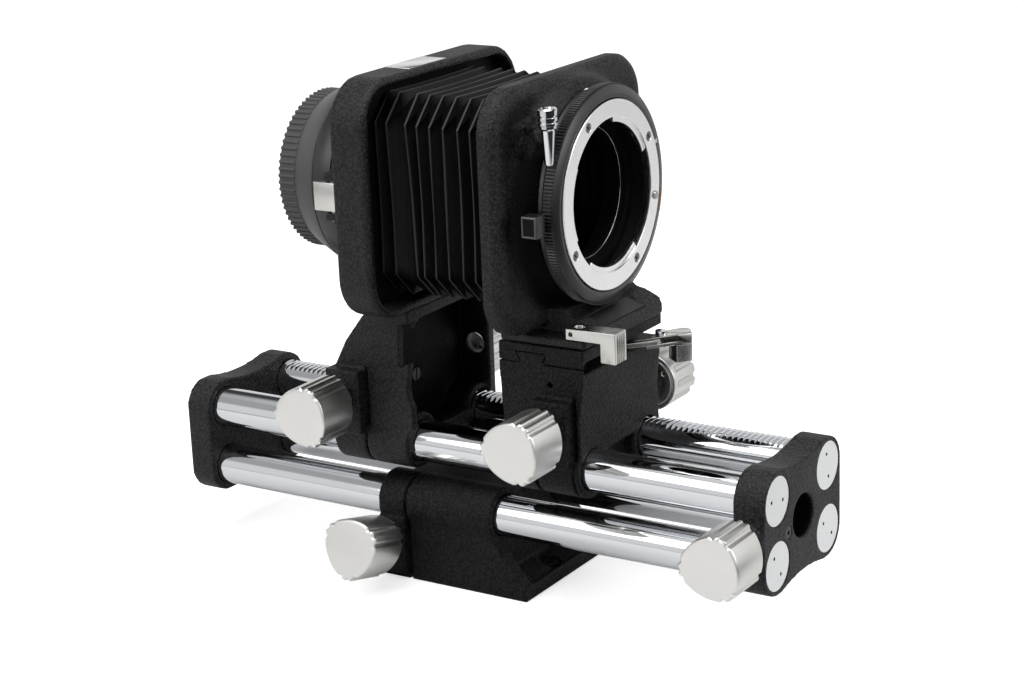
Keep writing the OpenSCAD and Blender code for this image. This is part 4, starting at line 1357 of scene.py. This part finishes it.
@dataclass
class LensLockLever:
    """The black lock lever with its bevelled head and the framed panel on its side."""

    # the head's length and depth
    head_y: float = 5.0
    head_x: float = 5.2
    # the bevel round its side, the frame inside it and the panel sunk in the frame
    bevel: float = 0.3
    rim: float = 0.3
    panel_deep: float = 0.3
    panel_draft: float = 0.05
    # the arm: how far inside the side and behind the front it starts, and how much lower it is
    arm_x: float = 2.2
    arm_y: float = 4.5
    arm_step: float = 0.8
    edge: float = 0.18
    # the frame's faces are the small ones nearer to the side than this, in mm and mm2, and the
    # panel's are those beyond it, up to the panel's depth and a little more
    frame_deep: float = 0.2
    frame_area: float = 6.0
    little: float = 0.05

    def build(self, paints: Paints) -> None:
        """Makes the lever, with a painted highlight in pale grey on its frame and its panel matt, and hands
        it over.

        Args:
            paints: the unit's finishes.
        """
        low, high = box_mm("lens_lock_lever")
        shape = Shape()
        frame_in = self.bevel + self.rim
        # the head from its inner end to the panel: X, and how far its outline draws in
        steps = (
            (low.x + self.head_x, 0.0),
            (low.x + self.bevel, 0.0),
            (low.x, self.bevel),
            (low.x, frame_in),
            (low.x + self.panel_deep, frame_in + self.panel_draft),
        )
        rings = []
        for x, inset in steps:
            y0, y1 = low.y + inset, low.y + self.head_y - inset
            z0, z1 = low.z + inset, high.z - inset
            rings.append(shape.ring(Vector((x, y, z)) for y, z in ((y0, z0), (y0, z1), (y1, z1), (y1, z0))))
        shape.skin(rings)
        arm = (low.x + self.arm_x, low.y + self.arm_y, low.z)
        shape.block(arm, (high.x, high.y, high.z - self.arm_step))
        made = shape.build("lens_lock_lever_filed")
        for finish in (paints.screw, paints.pale_edges, paints.matt_black):
            made.data.materials.append(finish)
        for face in made.data.polygons:
            deep = face.center.x / MM - low.x
            # painted edge highlight: the frame's small faces get the pale grey
            if deep < self.frame_deep and face.area < self.frame_area * MM * MM:
                face.material_index = 1
            elif self.frame_deep < deep < self.panel_deep + self.little and abs(face.normal.x) > 0.9:
                face.material_index = 2
        bevel = made.modifiers.new("edge", "BEVEL")
        bevel.width = self.edge * MM
        bevel.segments = 2
        bevel.limit_method = "ANGLE"
        freeze(made)
        shade(made)
        hand_over(made, ["lens_lock_lever"], paints.screw)


@dataclass
class LensMount:
    """The lens mount: black collar, knurled ring, baffle's edge, marks, cable socket and lever."""

    mount_y: float = -52.5
    ring_r: float = 32.4
    bore_r: float = 25.1
    sleeve_r: float = 29.9
    sleeve_end: float = -37.0
    collar_end: float = -51.1
    knurl_end: float = -48.0
    boss_y: float = -46.4
    steps: int = 192
    # depth behind the mount's face, and radius: seat of the chromed ring, groove round it, slope
    face: Section = (
        (2.4, 28.66),
        (0.75, 28.66),
        (0.45, 28.86),
        (0.35, 29.61),
        (0.4, 29.9),
        (0.5, 30.2),
        (1.1, 32.2),
        (1.25, 32.4),
    )
    # the smooth rear ring: how far behind the knurl it starts, and how its edge is broken
    rear_gap: float = 0.2
    rear_edge: float = 0.2
    # the knurled ring: its band, its room on the sleeve and before the collar, and its edges
    band_r: float = 32.55
    sleeve_room: float = 0.06
    collar_room: float = 0.05
    band_edge: float = 0.15
    knurl_count: int = 200
    knurl_width: float = 0.62
    knurl_rise: float = 0.5
    knurl_sides: int = 6
    knurl_inset: float = 0.2
    # radius of each mark's section, and distance ahead of the boss or behind the mount's face
    top_mark: Section = ((32.3, 1.25), (32.43, 1.25), (32.43, 0.25), (32.3, 0.25))
    dot_mark: Section = ((28.85, 0.5), (28.85, 0.3), (30.1, 0.24), (30.1, 0.5))
    arc_mark: Section = (
        (31.0, 0.95),
        (31.0, 0.66),
        (32.25, 1.06),
        (32.44, 1.22),
        (32.44, 1.4),
        (32.2, 1.4),
    )
    # the baffle's front edge, a pale metal ring as a painted highlight: its radius, its half thickness and
    # its depth in the throat
    baffle_r: float = 19.85
    baffle_edge_r: float = 0.09
    baffle_deep: float = 8.85
    baffle_sides: int = 6
    baffle_steps: int = 96
    axis_z: float = AXIS_Z

    @property
    def centre(self) -> Vector:
        """The optical axis where Y is 0."""
        return Vector((0, 0, self.axis_z))

    def collar(self, paints: Paints) -> None:
        """Makes the black collar with its sloped face, its groove and the smooth rear ring.

        Args:
            paints: the unit's finishes.
        """
        rear = self.knurl_end + self.rear_gap
        profile = [
            (self.mount_y + self.face[0][0], self.bore_r),
            *((self.mount_y + deep, r) for deep, r in self.face),
            # back under the knurled ring
            (self.collar_end, self.ring_r),
            (self.collar_end, self.sleeve_r),
            (rear, self.sleeve_r),
            # the smooth rear ring
            (rear, self.ring_r - self.rear_edge),
            (rear + self.rear_edge, self.ring_r),
            (self.boss_y, self.ring_r),
            (self.boss_y, self.sleeve_r),
            (self.sleeve_end, self.sleeve_r),
            (self.sleeve_end, self.bore_r),
        ]
        made = turned(profile, self.centre, Axis.BACK, self.steps).build("mount_collar_turned")
        shade(made, 24)
        hand_over(made, ["mount_collar"], paints.black_metal)

    def diaphragm(self, paints: Paints) -> None:
        """Makes the knurled ring: a plain band and its fine ribs.

        Args:
            paints: the unit's finishes.
        """
        start = self.collar_end + self.collar_room
        inner = self.sleeve_r + self.sleeve_room
        profile = [
            (start, inner),
            (start, self.band_r - self.band_edge),
            (start + self.band_edge, self.band_r),
            (self.knurl_end - self.band_edge, self.band_r),
            (self.knurl_end, self.band_r - self.band_edge),
            (self.knurl_end, inner),
        ]
        made = turned(profile, self.centre, Axis.BACK, self.steps).build("diaphragm_ring_knurled")
        shade(made)
        ribs = RibBand(
            "knurl",
            self.knurl_count,
            self.band_r,
            math.tau * self.band_r / self.knurl_count * self.knurl_width,
            self.knurl_rise,
            start + self.knurl_inset,
            self.knurl_end - self.knurl_inset,
            self.knurl_sides,
        )
        hand_over(ribs.apply(made, paints.black_metal), ["diaphragm_ring"], paints.black_metal)

    def marks(self, paints: Paints) -> None:
        """Sets the index marks: a white line on top, a white dot and an amber arc at the right.

        Args:
            paints: the unit's finishes.
        """
        top = [(r, self.boss_y - ahead) for r, ahead in self.top_mark]
        dot, arc = ([(r, self.mount_y + deep) for r, deep in mark] for mark in (self.dot_mark, self.arc_mark))
        for mark in (
            IndexMark("top_index_mark", 96.6, 99.2, top, paints.white),
            IndexMark("white_dot_mark", 20.6, 23.0, dot, paints.white),
            IndexMark("amber_index_mark", -21.0, -8.0, arc, paints.amber),
        ):
            mark.build("mount_collar")

    def baffle_edge_highlight(self, paints: Paints) -> None:
        """Makes the baffle's front edge as a painted highlight, a thin pale metal ring deep in the throat.

        Args:
            paints: the unit's finishes.
        """
        y, thick = self.mount_y + self.baffle_deep, self.baffle_edge_r
        turns = [math.tau * i / self.baffle_sides for i in range(self.baffle_sides)]
        section = [(y + thick * math.sin(t), self.baffle_r + thick * math.cos(t)) for t in turns]
        made = turned(section, self.centre, Axis.BACK, self.baffle_steps).build("baffle_edge_highlight")
        shade(made, 80)
        lay_on(made, "baffle_tube", paints.disc)

    def build(self, paints: Paints) -> None:
        """Makes every piece of the mount.

        Args:
            paints: the unit's finishes.
        """
        self.collar(paints)
        self.diaphragm(paints)
        self.marks(paints)
        self.baffle_edge_highlight(paints)
        CableSocket().build(paints)
        LensLockLever().build(paints)


@dataclass
class RearCap:
    """The moulded rear cap: a smooth cone, a ribbed grip band and a recessed end."""

    front_y: float = 36.34
    cone_len: float = 10.5
    rib_len: float = 6.2
    cone_r: float = 29.3
    band_r: float = 24.7
    wall: float = 1.4
    steps: int = 144
    # place behind the mouth, and radius against cone_r
    mouth: Section = ((0.0, -1.4), (0.0, -0.4), (0.4, 0.0), (1.6, -0.2))
    # place behind the cone's end or the cap's end, and radius against band_r
    shoulder: Section = ((-1.4, 0.9), (-0.4, 0.35), (0.0, 0.0))
    rim: Section = ((-0.7, 0.0), (-0.2, -0.25), (0.0, -0.8), (0.0, -3.2), (-0.8, -3.8))
    # how deep the end is sunk, and how far in its inside lies
    sunk: float = 0.8
    inside: float = 2.0
    rib_count: int = 72
    rib_width: float = 0.55
    rib_rise: float = 0.5
    rib_sides: int = 10
    # how far the ribs reach over the shoulder, and end before the rim
    rib_over: float = 0.3
    rib_short: float = 0.35
    axis_z: float = AXIS_Z

    def build(self, paints: Paints) -> None:
        """Makes the cap with its ribs and hands it over.

        Args:
            paints: the unit's finishes.
        """
        mid = self.front_y + self.cone_len
        end = mid + self.rib_len
        profile = [
            (base_y + y, base_r + r)
            for base_y, base_r, section in (
                (self.front_y, self.cone_r, self.mouth),
                (mid, self.band_r, self.shoulder),
                (end, self.band_r, self.rim),
            )
            for y, r in section
        ]
        # the sunk end, and the inside back to the mouth
        profile += [(end - self.sunk, 0.0), (end - self.inside, 0.0)]
        profile += [(end - self.inside, self.band_r - self.wall), (mid, self.band_r - self.wall)]
        shape = turned(profile, Vector((0, 0, self.axis_z)), Axis.BACK, self.steps)
        made = shape.build("rear_cap_moulded")
        shade(made, 30)
        ribs = RibBand(
            "grip ribs",
            self.rib_count,
            self.band_r,
            math.tau * self.band_r / self.rib_count * self.rib_width,
            self.rib_rise,
            mid - self.rib_over,
            end - self.rib_short,
            self.rib_sides,
        )
        hand_over(ribs.apply(made, paints.plastic), ["rear_cap"], paints.plastic)


# -------------------------------------------------------------------- bellows


@dataclass
class Bellows:
    """The pleated bellows: square rings with folded corners, made in four lengths.

    The rings at the joins of two lengths are shared.
    """

    axis_z: float = AXIS_Z
    half: float = 30.4
    # how much wider each side stands at the rear end than at the front
    flare: float = 0.8
    # the cut across a corner on an outer fold, and in a valley
    corner: float = 8.2
    valley_corner: float = 0.3
    edge_w: float = 0.4
    # where the cloth beside an outer fold is no longer rubbed, as a part of the panel's depth
    rubbed: float = 0.1
    start_y: float = -34.5
    end_y: float = 12.1
    ridges: tuple[float, ...] = (-32.4, -27.6, -22.8, -18.6, -13.6, -8.9, -4.4, -0.1, 6.4, 10.1)
    # how far the lower end of each ridge hangs forward of its upper end
    leans: tuple[float, ...] = (0.0, 0.0, 0.0, 0.0, 0.0, 0.0, 0.5, 2.6, 1.0, 0.0)
    # how far a fold sags in between its corners, and waves along the axis
    sag: float = 0.35
    wave: float = 0.22
    # the wave's phase by place, side and way along the side, so that no two folds are alike
    wave_phase: tuple[float, float, float] = (1.7, 2.3, 3.1)
    side_points: int = 12
    cloth_t: float = 0.35
    # the valleys where one length ends and the next begins, counted from the front
    joins: tuple[int, ...] = (2, 3, 6)
    bodies: tuple[str, ...] = ("lens_standard", "shift", "front_carriage", "rails", "rear_standard")
    # how far inside a length its bend starts and ends
    margin: float = 0.4

    def ring(self, y: float, depth: float, lean: float) -> list[Vector]:
        """Gives the points of one square ring.

        Args:
            y: where the ring stands.
            depth: 0 on an outer fold, whose corners are cut, to 1 in a valley, whose corners are sharp.
            lean: how far its lower end hangs forward.

        Returns:
            The points, side by side, starting at the lower near corner.
        """
        outer = self.half + self.flare * (y - self.start_y) / (self.end_y - self.start_y)
        half = outer - depth * self.corner / 2
        cut = self.corner + depth * (self.valley_corner - self.corner)
        run = 2 * (half - cut)
        by_place, by_side, by_way = self.wave_phase
        points = []
        for sx, sz, dx, dz in ((-1, -1, 1, 0), (1, -1, 0, 1), (1, 1, -1, 0), (-1, 1, 0, -1)):
            for i in range(self.side_points + 1):
                t = i / self.side_points
                # cloth never hangs quite straight between its corners
                loose = math.sin(math.pi * t)
                inward = self.sag * loose * (1 - depth)
                x = sx * half + dx * (cut + run * t) - (inward * sx if dx == 0 else 0)
                z = sz * half + dz * (cut + run * t) - (inward * sz if dz == 0 else 0)
                wave = self.wave * loose * math.sin(by_place * y + by_side * sx + by_way * t)
                drop = lean * (0.5 - z / (2 * self.half))
                points.append(Vector((x, y - drop + wave, self.axis_z + z)))
        return points

    def rings(self) -> list[tuple[float, float, float]]:
        """Lists every ring from front to rear.

        Returns:
            Each ring's place, its depth and its lean.
        """
        found: list[tuple[float, float, float]] = [(self.start_y, 1.0, 0.0)]
        valleys = [(a + b) / 2 for a, b in zip(self.ridges, self.ridges[1:])]
        before = [self.start_y, *valleys]
        after = [*valleys, self.end_y]
        for i, y in enumerate(self.ridges):
            lean = self.leans[i]
            front, rear = y - self.edge_w / 2, y + self.edge_w / 2
            found.append((front + (before[i] - front) * self.rubbed, self.rubbed, lean))
            found.append((front, 0.0, lean))
            found.append((rear, 0.0, lean))
            found.append((rear + (after[i] - rear) * self.rubbed, self.rubbed, lean))
            if i < len(valleys):
                found.append((valleys[i], 1.0, (lean + self.leans[i + 1]) / 2))
        found.append((self.end_y, 1.0, 0.0))
        return found

    def lengths(self) -> list[list[tuple[float, float, float]]]:
        """Splits the rings into the lengths between the joins.

        Returns:
            The rings of each length; those at a join are in both.
        """
        rings = self.rings()
        valleys = [i for i, (_, depth, _) in enumerate(rings) if depth == 1.0]
        cuts = [0, *(valleys[j + 1] for j in self.joins), len(rings) - 1]
        return [rings[a : b + 1] for a, b in zip(cuts, cuts[1:])]

    def build(self, paints: Paints) -> None:
        """Makes the four lengths of cloth.

        Args:
            paints: the unit's finishes.
        """
        for number, rings in enumerate(self.lengths()):
            shape = Shape()
            made_rings = [self.ring(y, depth, lean) for y, depth, lean in rings]
            shape.skin([shape.ring(points) for points in made_rings], ends=False)
            made = shape.build(f"bellows_length_{number + 1}")
            self.mark_folds(made, rings)
            wall = made.modifiers.new("cloth", "SOLIDIFY")
            wall.thickness = self.cloth_t * MM
            wall.offset = -1
            freeze(made)
            shade(made, 25)
            made.data.materials.append(paints.cloth)
            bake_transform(made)
            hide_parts("bellows")
            LOG.info("%s: %d faces", made.name, len(made.data.polygons))

    def mark_folds(self, made: bpy.types.Object, rings: list[tuple[float, float, float]]) -> None:
        """Stores where the outer folds are paler and where the tucked corners get painted shade.

        Args:
            made: a length of the bellows, whose attribute "fold" becomes 1 on every outer fold
            and whose attribute "tuck_shade", the painted shade, becomes 1 on the corners between the folds.
            rings: its rings.
        """
        pale_edges = made.data.attributes.new("fold", "FLOAT", "POINT")
        around = len(pale_edges.data) // len(rings)
        for i, value in enumerate(pale_edges.data):
            value.value = 1.0 if rings[i // around][1] == 0.0 else 0.0
        # painted shade on the corners of every ring but the outer folds
        tuck_shade = made.data.attributes.new("tuck_shade", "FLOAT", "POINT")
        for i, value in enumerate(tuck_shade.data):
            corner = i % around % (self.side_points + 1) in (0, self.side_points)
            value.value = 1.0 if corner and rings[i // around][1] > 0.0 else 0.0


# ------------------------------------------------------- machined small pieces


@dataclass
class SmallPieces:
    """Levers, plates, discs and screws: the CAD pieces, some of them with their edges broken."""

    # the camera bayonet is painted matt ahead of this place on Y
    painted_to: float = 39.2
    disc_r: float = 7.4
    # a spanner hole's faces lie at least this far from a disc's faces, and inside its outline
    hole_deep: float = 0.05
    hole_in: float = 1.0
    smooth_to: float = 30.0

    def broken(self, paints: Paints) -> dict[str, tuple[bpy.types.Material, str, float]]:
        """Lists the pieces that get a broken edge.

        Args:
            paints: the unit's finishes.

        Returns:
            The CAD nodes, each with its finish, its slot and the width of the broken edge.
        """
        return {
            "shift_lever": (paints.lever, "lever", 0.35),
            "swing_lever": (paints.lever, "lever", 0.18),
            "shift_lever_bar": (paints.lever, "lever", 0.15),
            "ring_release": (paints.lever, "lever", 0.3),
            "scale_plate": (paints.disc, "plate_silver", 0.08),
            "bayonet_ring": (paints.mount, "bayonet", 0.12),
            "camera_bayonet": (paints.mount, "bayonet", 0.15),
            "camera_ring": (paints.black_metal, "ring_black", 0.3),
            "lens_lock_pin": (paints.steel, "steel_pin", 0.2),
        }

    def plain(self, paints: Paints) -> list[tuple[bpy.types.Material, tuple[str, ...]]]:
        """Lists the CAD nodes that keep their own mesh.

        Args:
            paints: the unit's finishes.

        Returns:
            The finishes, each with the nodes that have it.
        """
        studs = ("base_lock_stud", "rod_lock_stud", "front_lock_stud", "rear_lock_stud")
        pins = ("swing_pin", "shift_lever_pin", "ring_release_pin", "swing_lever_screw")
        shafts = ("front_drive_shaft", "rear_drive_shaft", "tripod_bush")
        return [
            (paints.chrome, (*RAILS, "shift_lever_screw")),
            (paints.steel, (*studs, *pins, *shafts)),
            (paints.brass, ("front_pinion", "rear_pinion")),
            (paints.blued, ("bayonet_screws",)),
            (paints.screw, ("foot_screws", "front_plate_screw", "rear_cavity_screw")),
            (paints.black_metal, ("name_plate",)),
            (paints.shaded_enamel, ("shift_gib",)),
            (paints.matt_black, ("baffle_tube", "front_bellows_frame", "rear_bellows_frame")),
        ]

    def blacken_inside(
        self, made: bpy.types.Object, metal: bpy.types.Material, paint: bpy.types.Material
    ) -> None:
        """Paints a flange's bore and front face matt black, as they face the light path.

        Args:
            made: the flange.
            metal: what the rest of it shows.
            paint: the black paint.
        """
        made.data.materials.append(metal)
        made.data.materials.append(paint)
        for face in made.data.polygons:
            if face.center.y < self.painted_to * MM:
                face.material_index = 1

    def discs(self, node: str, paints: Paints) -> None:
        """Makes the discs over the rail ends: turned faces, with painted shade in the spanner holes.

        Args:
            node: the CAD node of the four discs at one end.
            paints: the unit's finishes.
        """
        low, high = box_mm(node)
        radius = self.disc_r
        made = copy_of(node, node + "_turned")
        made.data.materials.append(paints.disc)
        made.data.materials.append(paints.matt_black)
        for face in made.data.polygons:
            at = face.center / MM
            x = high.x - radius if at.x > 0 else low.x + radius
            z = high.z - radius if at.z > (low.z + high.z) / 2 else low.z + radius
            # painted shade: faces sunk inside a spanner hole get the matt black
            sunk = low.y + self.hole_deep < at.y < high.y - self.hole_deep
            if sunk and math.hypot(at.x - x, at.z - z) < radius - self.hole_in:
                face.material_index = 1
        shade(made, self.smooth_to)
        keep_faces_flat(made)
        hand_over(made, [node], paints.disc)

    def build(self, paints: Paints) -> None:
        """Makes the discs, breaks the edges of some pieces and gives the others their finish.

        Args:
            paints: the unit's finishes.
        """
        self.discs("front_discs", paints)
        self.discs("rear_discs", paints)
        for node, (finish, slot, width) in self.broken(paints).items():
            made = softened(node, node + "_filed", width)
            shade(made, self.smooth_to)
            keep_faces_flat(made)
            if node == "camera_bayonet":
                self.blacken_inside(made, finish, paints.matt_black)
            hand_over(made, [node], finish)
        for finish, nodes in self.plain(paints):
            for node in nodes:
                cad = frame["nodes"][node]
                if not cad.material_slots:
                    cad.data.materials.append(finish)
                for slot in cad.material_slots:
                    slot.material = finish
                LOG.info("%s: CAD mesh, %s", node, finish.name)


# --------------------------------------------------------------------- studio


@dataclass
class Studio:
    """The pale floor, the soft lamps and the camera at the photograph's place."""

    # the camera: its place, its own axes, and its lens
    camera_mm: tuple[float, float, float] = (-572.88, -385.48, 277.45)
    right: tuple[float, float, float] = (0.53308, -0.84518, -0.03868)
    up: tuple[float, float, float] = (0.26048, 0.12044, 0.95795)
    back: tuple[float, float, float] = (-0.80497, -0.52074, 0.28436)
    lens_mm: float = 80.676
    sensor_mm: float = 36.0
    clip_m: tuple[float, float] = (0.01, 50)
    # half the floor's side in metres, and its height in millimetres
    floor_half: float = 6.0
    floor_z: float = -0.02
    # the floor as it is seen, for the light that it throws back, and for gloss ahead of the lens
    paper: str = "#f4f4f4"
    bounce: str = "#444444"
    shade: str = "#303030"
    paper_glow: float = 0.6
    # where that shade starts and is full, in metres: towards -X of a slanted line, and along Y
    slant: float = 0.55
    slant_fade: tuple[float, float] = (0.1, -0.1)
    ahead_fade: tuple[float, float] = (-0.12, -0.3)
    # the world's light, and what gloss sees: the room's level and that of a dark band above it
    world_light: float = 0.4
    room_level: float = 0.88
    band_level: float = 0.06
    # heights on the unit sphere over which the band begins and ends
    band_begins: tuple[float, float] = (0.42, 0.54)
    band_ends: tuple[float, float] = (0.72, 0.85)
    # the band is half as dark towards -X
    band_side: tuple[float, float] = (-0.35, 0.2)
    band_least: float = 0.5
    # each lamp's place and side in metres, and its power in watts
    lamps: tuple[tuple[str, tuple[float, float, float], float, float], ...] = (
        ("lamp_above", (-0.15, -0.1, 1.1), 0.9, 8),
        ("lamp_left", (-0.55, 0.2, 0.5), 0.45, 1.3),
        ("lamp_front", (0.3, -1.2, 0.6), 0.6, 3.6),
    )
    lamp_aim: tuple[float, float, float] = (0, 0, 0.08)

    def world(self) -> None:
        """Makes the world: white to the eye, soft light, and for gloss a white room with a dark band."""
        world = bpy.data.worlds.new("studio")
        bpy.context.scene.world = world
        world.use_nodes = True
        tree = world.node_tree
        tree.nodes.clear()
        way = add(tree, "ShaderNodeTexCoord").outputs["Generated"]
        parts = add(tree, "ShaderNodeSeparateXYZ", {0: way}).outputs
        begins, ends, side = (
            add(
                tree,
                "ShaderNodeMapRange",
                {"Value": parts[axis], "From Min": start, "From Max": end, "To Min": least},
                interpolation_type="SMOOTHSTEP",
            ).outputs[0]
            for axis, (start, end), least in (
                ("Z", self.band_begins, 0.0),
                ("Z", self.band_ends, 0.0),
                ("X", self.band_side, self.band_least),
            )
        )
        band = add(tree, "ShaderNodeMath", {0: begins, 1: ends}, operation="SUBTRACT")
        dark = add(tree, "ShaderNodeMath", {0: band.outputs[0], 1: side}, operation="MULTIPLY")
        level = add(
            tree,
            "ShaderNodeMapRange",
            {"Value": dark.outputs[0], "To Min": self.room_level, "To Max": self.band_level},
        )
        soft, room, white = (
            add(tree, "ShaderNodeBackground", {"Color": linear("#ffffff"), "Strength": strength}).outputs[0]
            for strength in (self.world_light, level.outputs[0], 1.0)
        )
        path = add(tree, "ShaderNodeLightPath").outputs
        gloss = add(tree, "ShaderNodeMixShader", {0: path["Is Glossy Ray"], 1: soft, 2: room})
        clear = add(
            tree,
            "ShaderNodeMath",
            {0: path["Is Camera Ray"], 1: path["Is Transmission Ray"]},
            operation="MAXIMUM",
        )
        mixed = add(tree, "ShaderNodeMixShader", {0: clear.outputs[0], 1: gloss.outputs[0], 2: white})
        add(tree, "ShaderNodeOutputWorld", {"Surface": mixed.outputs[0]})

    def floor_tone(self, tree: bpy.types.NodeTree) -> bpy.types.NodeSocket:
        """Builds the floor's colour: pale for the eye, gloss and glass, and grey for its own light.

        For gloss the floor ahead of the lens is dark, so that the faces of the rings stay dark.

        Args:
            tree: the floor's material tree.

        Returns:
            The output that gives the colour.
        """
        place = add(tree, "ShaderNodeTexCoord").outputs["Object"]
        parts = add(tree, "ShaderNodeSeparateXYZ", {0: place}).outputs
        line = add(
            tree, "ShaderNodeMath", {0: parts["Y"], 1: self.slant, 2: parts["X"]}, operation="MULTIPLY_ADD"
        )
        left, ahead = (
            add(
                tree,
                "ShaderNodeMapRange",
                {"Value": value, "From Min": start, "From Max": end},
                interpolation_type="SMOOTHSTEP",
            ).outputs[0]
            for value, (start, end) in ((line.outputs[0], self.slant_fade), (parts["Y"], self.ahead_fade))
        )
        zone = add(tree, "ShaderNodeMath", {0: left, 1: ahead}, operation="MULTIPLY")
        path = add(tree, "ShaderNodeLightPath").outputs
        unlit = add(
            tree, "ShaderNodeMath", {0: zone.outputs[0], 1: path["Is Glossy Ray"]}, operation="MULTIPLY"
        )
        seen = path["Is Camera Ray"]
        for ray in ("Is Glossy Ray", "Is Transmission Ray"):
            seen = add(tree, "ShaderNodeMath", {0: seen, 1: path[ray]}, operation="MAXIMUM").outputs[0]
        lit = add(
            tree,
            "ShaderNodeMix",
            {"Factor": seen, "A": linear(self.bounce), "B": linear(self.paper)},
            data_type="RGBA",
        )
        tone = add(
            tree,
            "ShaderNodeMix",
            {"Factor": unlit.outputs[0], "A": lit.outputs["Result"], "B": linear(self.shade)},
            data_type="RGBA",
        )
        return tone.outputs["Result"]

    def floor(self) -> None:
        """Makes the floor: matt paper with a glow that only the eye sees."""
        shape = Shape()
        half = self.floor_half / MM
        corners = [(-half, -half), (half, -half), (half, half), (-half, half)]
        shape.faces.append(tuple(shape.ring(Vector((x, y, self.floor_z)) for x, y in corners)))
        made = shape.build("floor")
        paper = bpy.data.materials.new("white paper floor")
        paper.use_nodes = True
        tree = paper.node_tree
        tree.nodes.clear()
        matt = add(tree, "ShaderNodeBsdfDiffuse", {"Color": self.floor_tone(tree)})
        eye = add(tree, "ShaderNodeLightPath").outputs["Is Camera Ray"]
        glow = add(tree, "ShaderNodeEmission", {"Color": linear("#ffffff"), "Strength": self.paper_glow})
        dark = add(tree, "ShaderNodeEmission", {"Strength": 0.0})
        lift = add(tree, "ShaderNodeMixShader", {0: eye, 1: dark.outputs[0], 2: glow.outputs[0]})
        both = add(tree, "ShaderNodeAddShader", {0: matt.outputs[0], 1: lift.outputs[0]})
        add(tree, "ShaderNodeOutputMaterial", {"Surface": both.outputs[0]})
        made.data.materials.append(paper)

    def lamp(self, name: str, place: tuple[float, float, float], size: float, power: float) -> None:
        """Makes a square soft lamp that looks at the unit.

        Args:
            name: the lamp's name.
            place: where it hangs, in metres.
            size: its side, in metres.
            power: its power in watts.
        """
        data = bpy.data.lights.new(name, "AREA")
        data.shape = "SQUARE"
        data.size = size
        data.energy = power
        lamp = put_in_scene(name, data)
        lamp.location = place
        aim = Vector(self.lamp_aim) - Vector(place)
        lamp.rotation_euler = aim.to_track_quat("-Z", "Y").to_euler()

    def camera(self) -> None:
        """Makes the camera and looks through it."""
        data = bpy.data.cameras.new("camera")
        data.lens = self.lens_mm
        data.sensor_width = self.sensor_mm
        data.clip_start, data.clip_end = self.clip_m
        made = put_in_scene("camera", data)
        turn = Matrix((self.right, self.up, self.back)).transposed().to_4x4()
        made.matrix_world = Matrix.Translation(Vector(self.camera_mm) * MM) @ turn
        bpy.context.scene.camera = made

    def build(self) -> None:
        """Makes the studio."""
        bpy.context.scene.view_settings.view_transform = "Standard"
        self.world()
        self.floor()
        for name, place, size, power in self.lamps:
            self.lamp(name, place, size, power)
        self.camera()


def main() -> None:
    """Builds the studio and then every piece of the unit, and logs each piece's face count."""
    logging.basicConfig(level=logging.INFO, format="%(message)s")
    paints = Paints()
    Studio().build()
    Castings().build(paints)
    Knobs().build(paints)
    LensMount().build(paints)
    RearCap().build(paints)
    Bellows().build(paints)
    SmallPieces().build(paints)


if __name__ == "__main__":
    main()
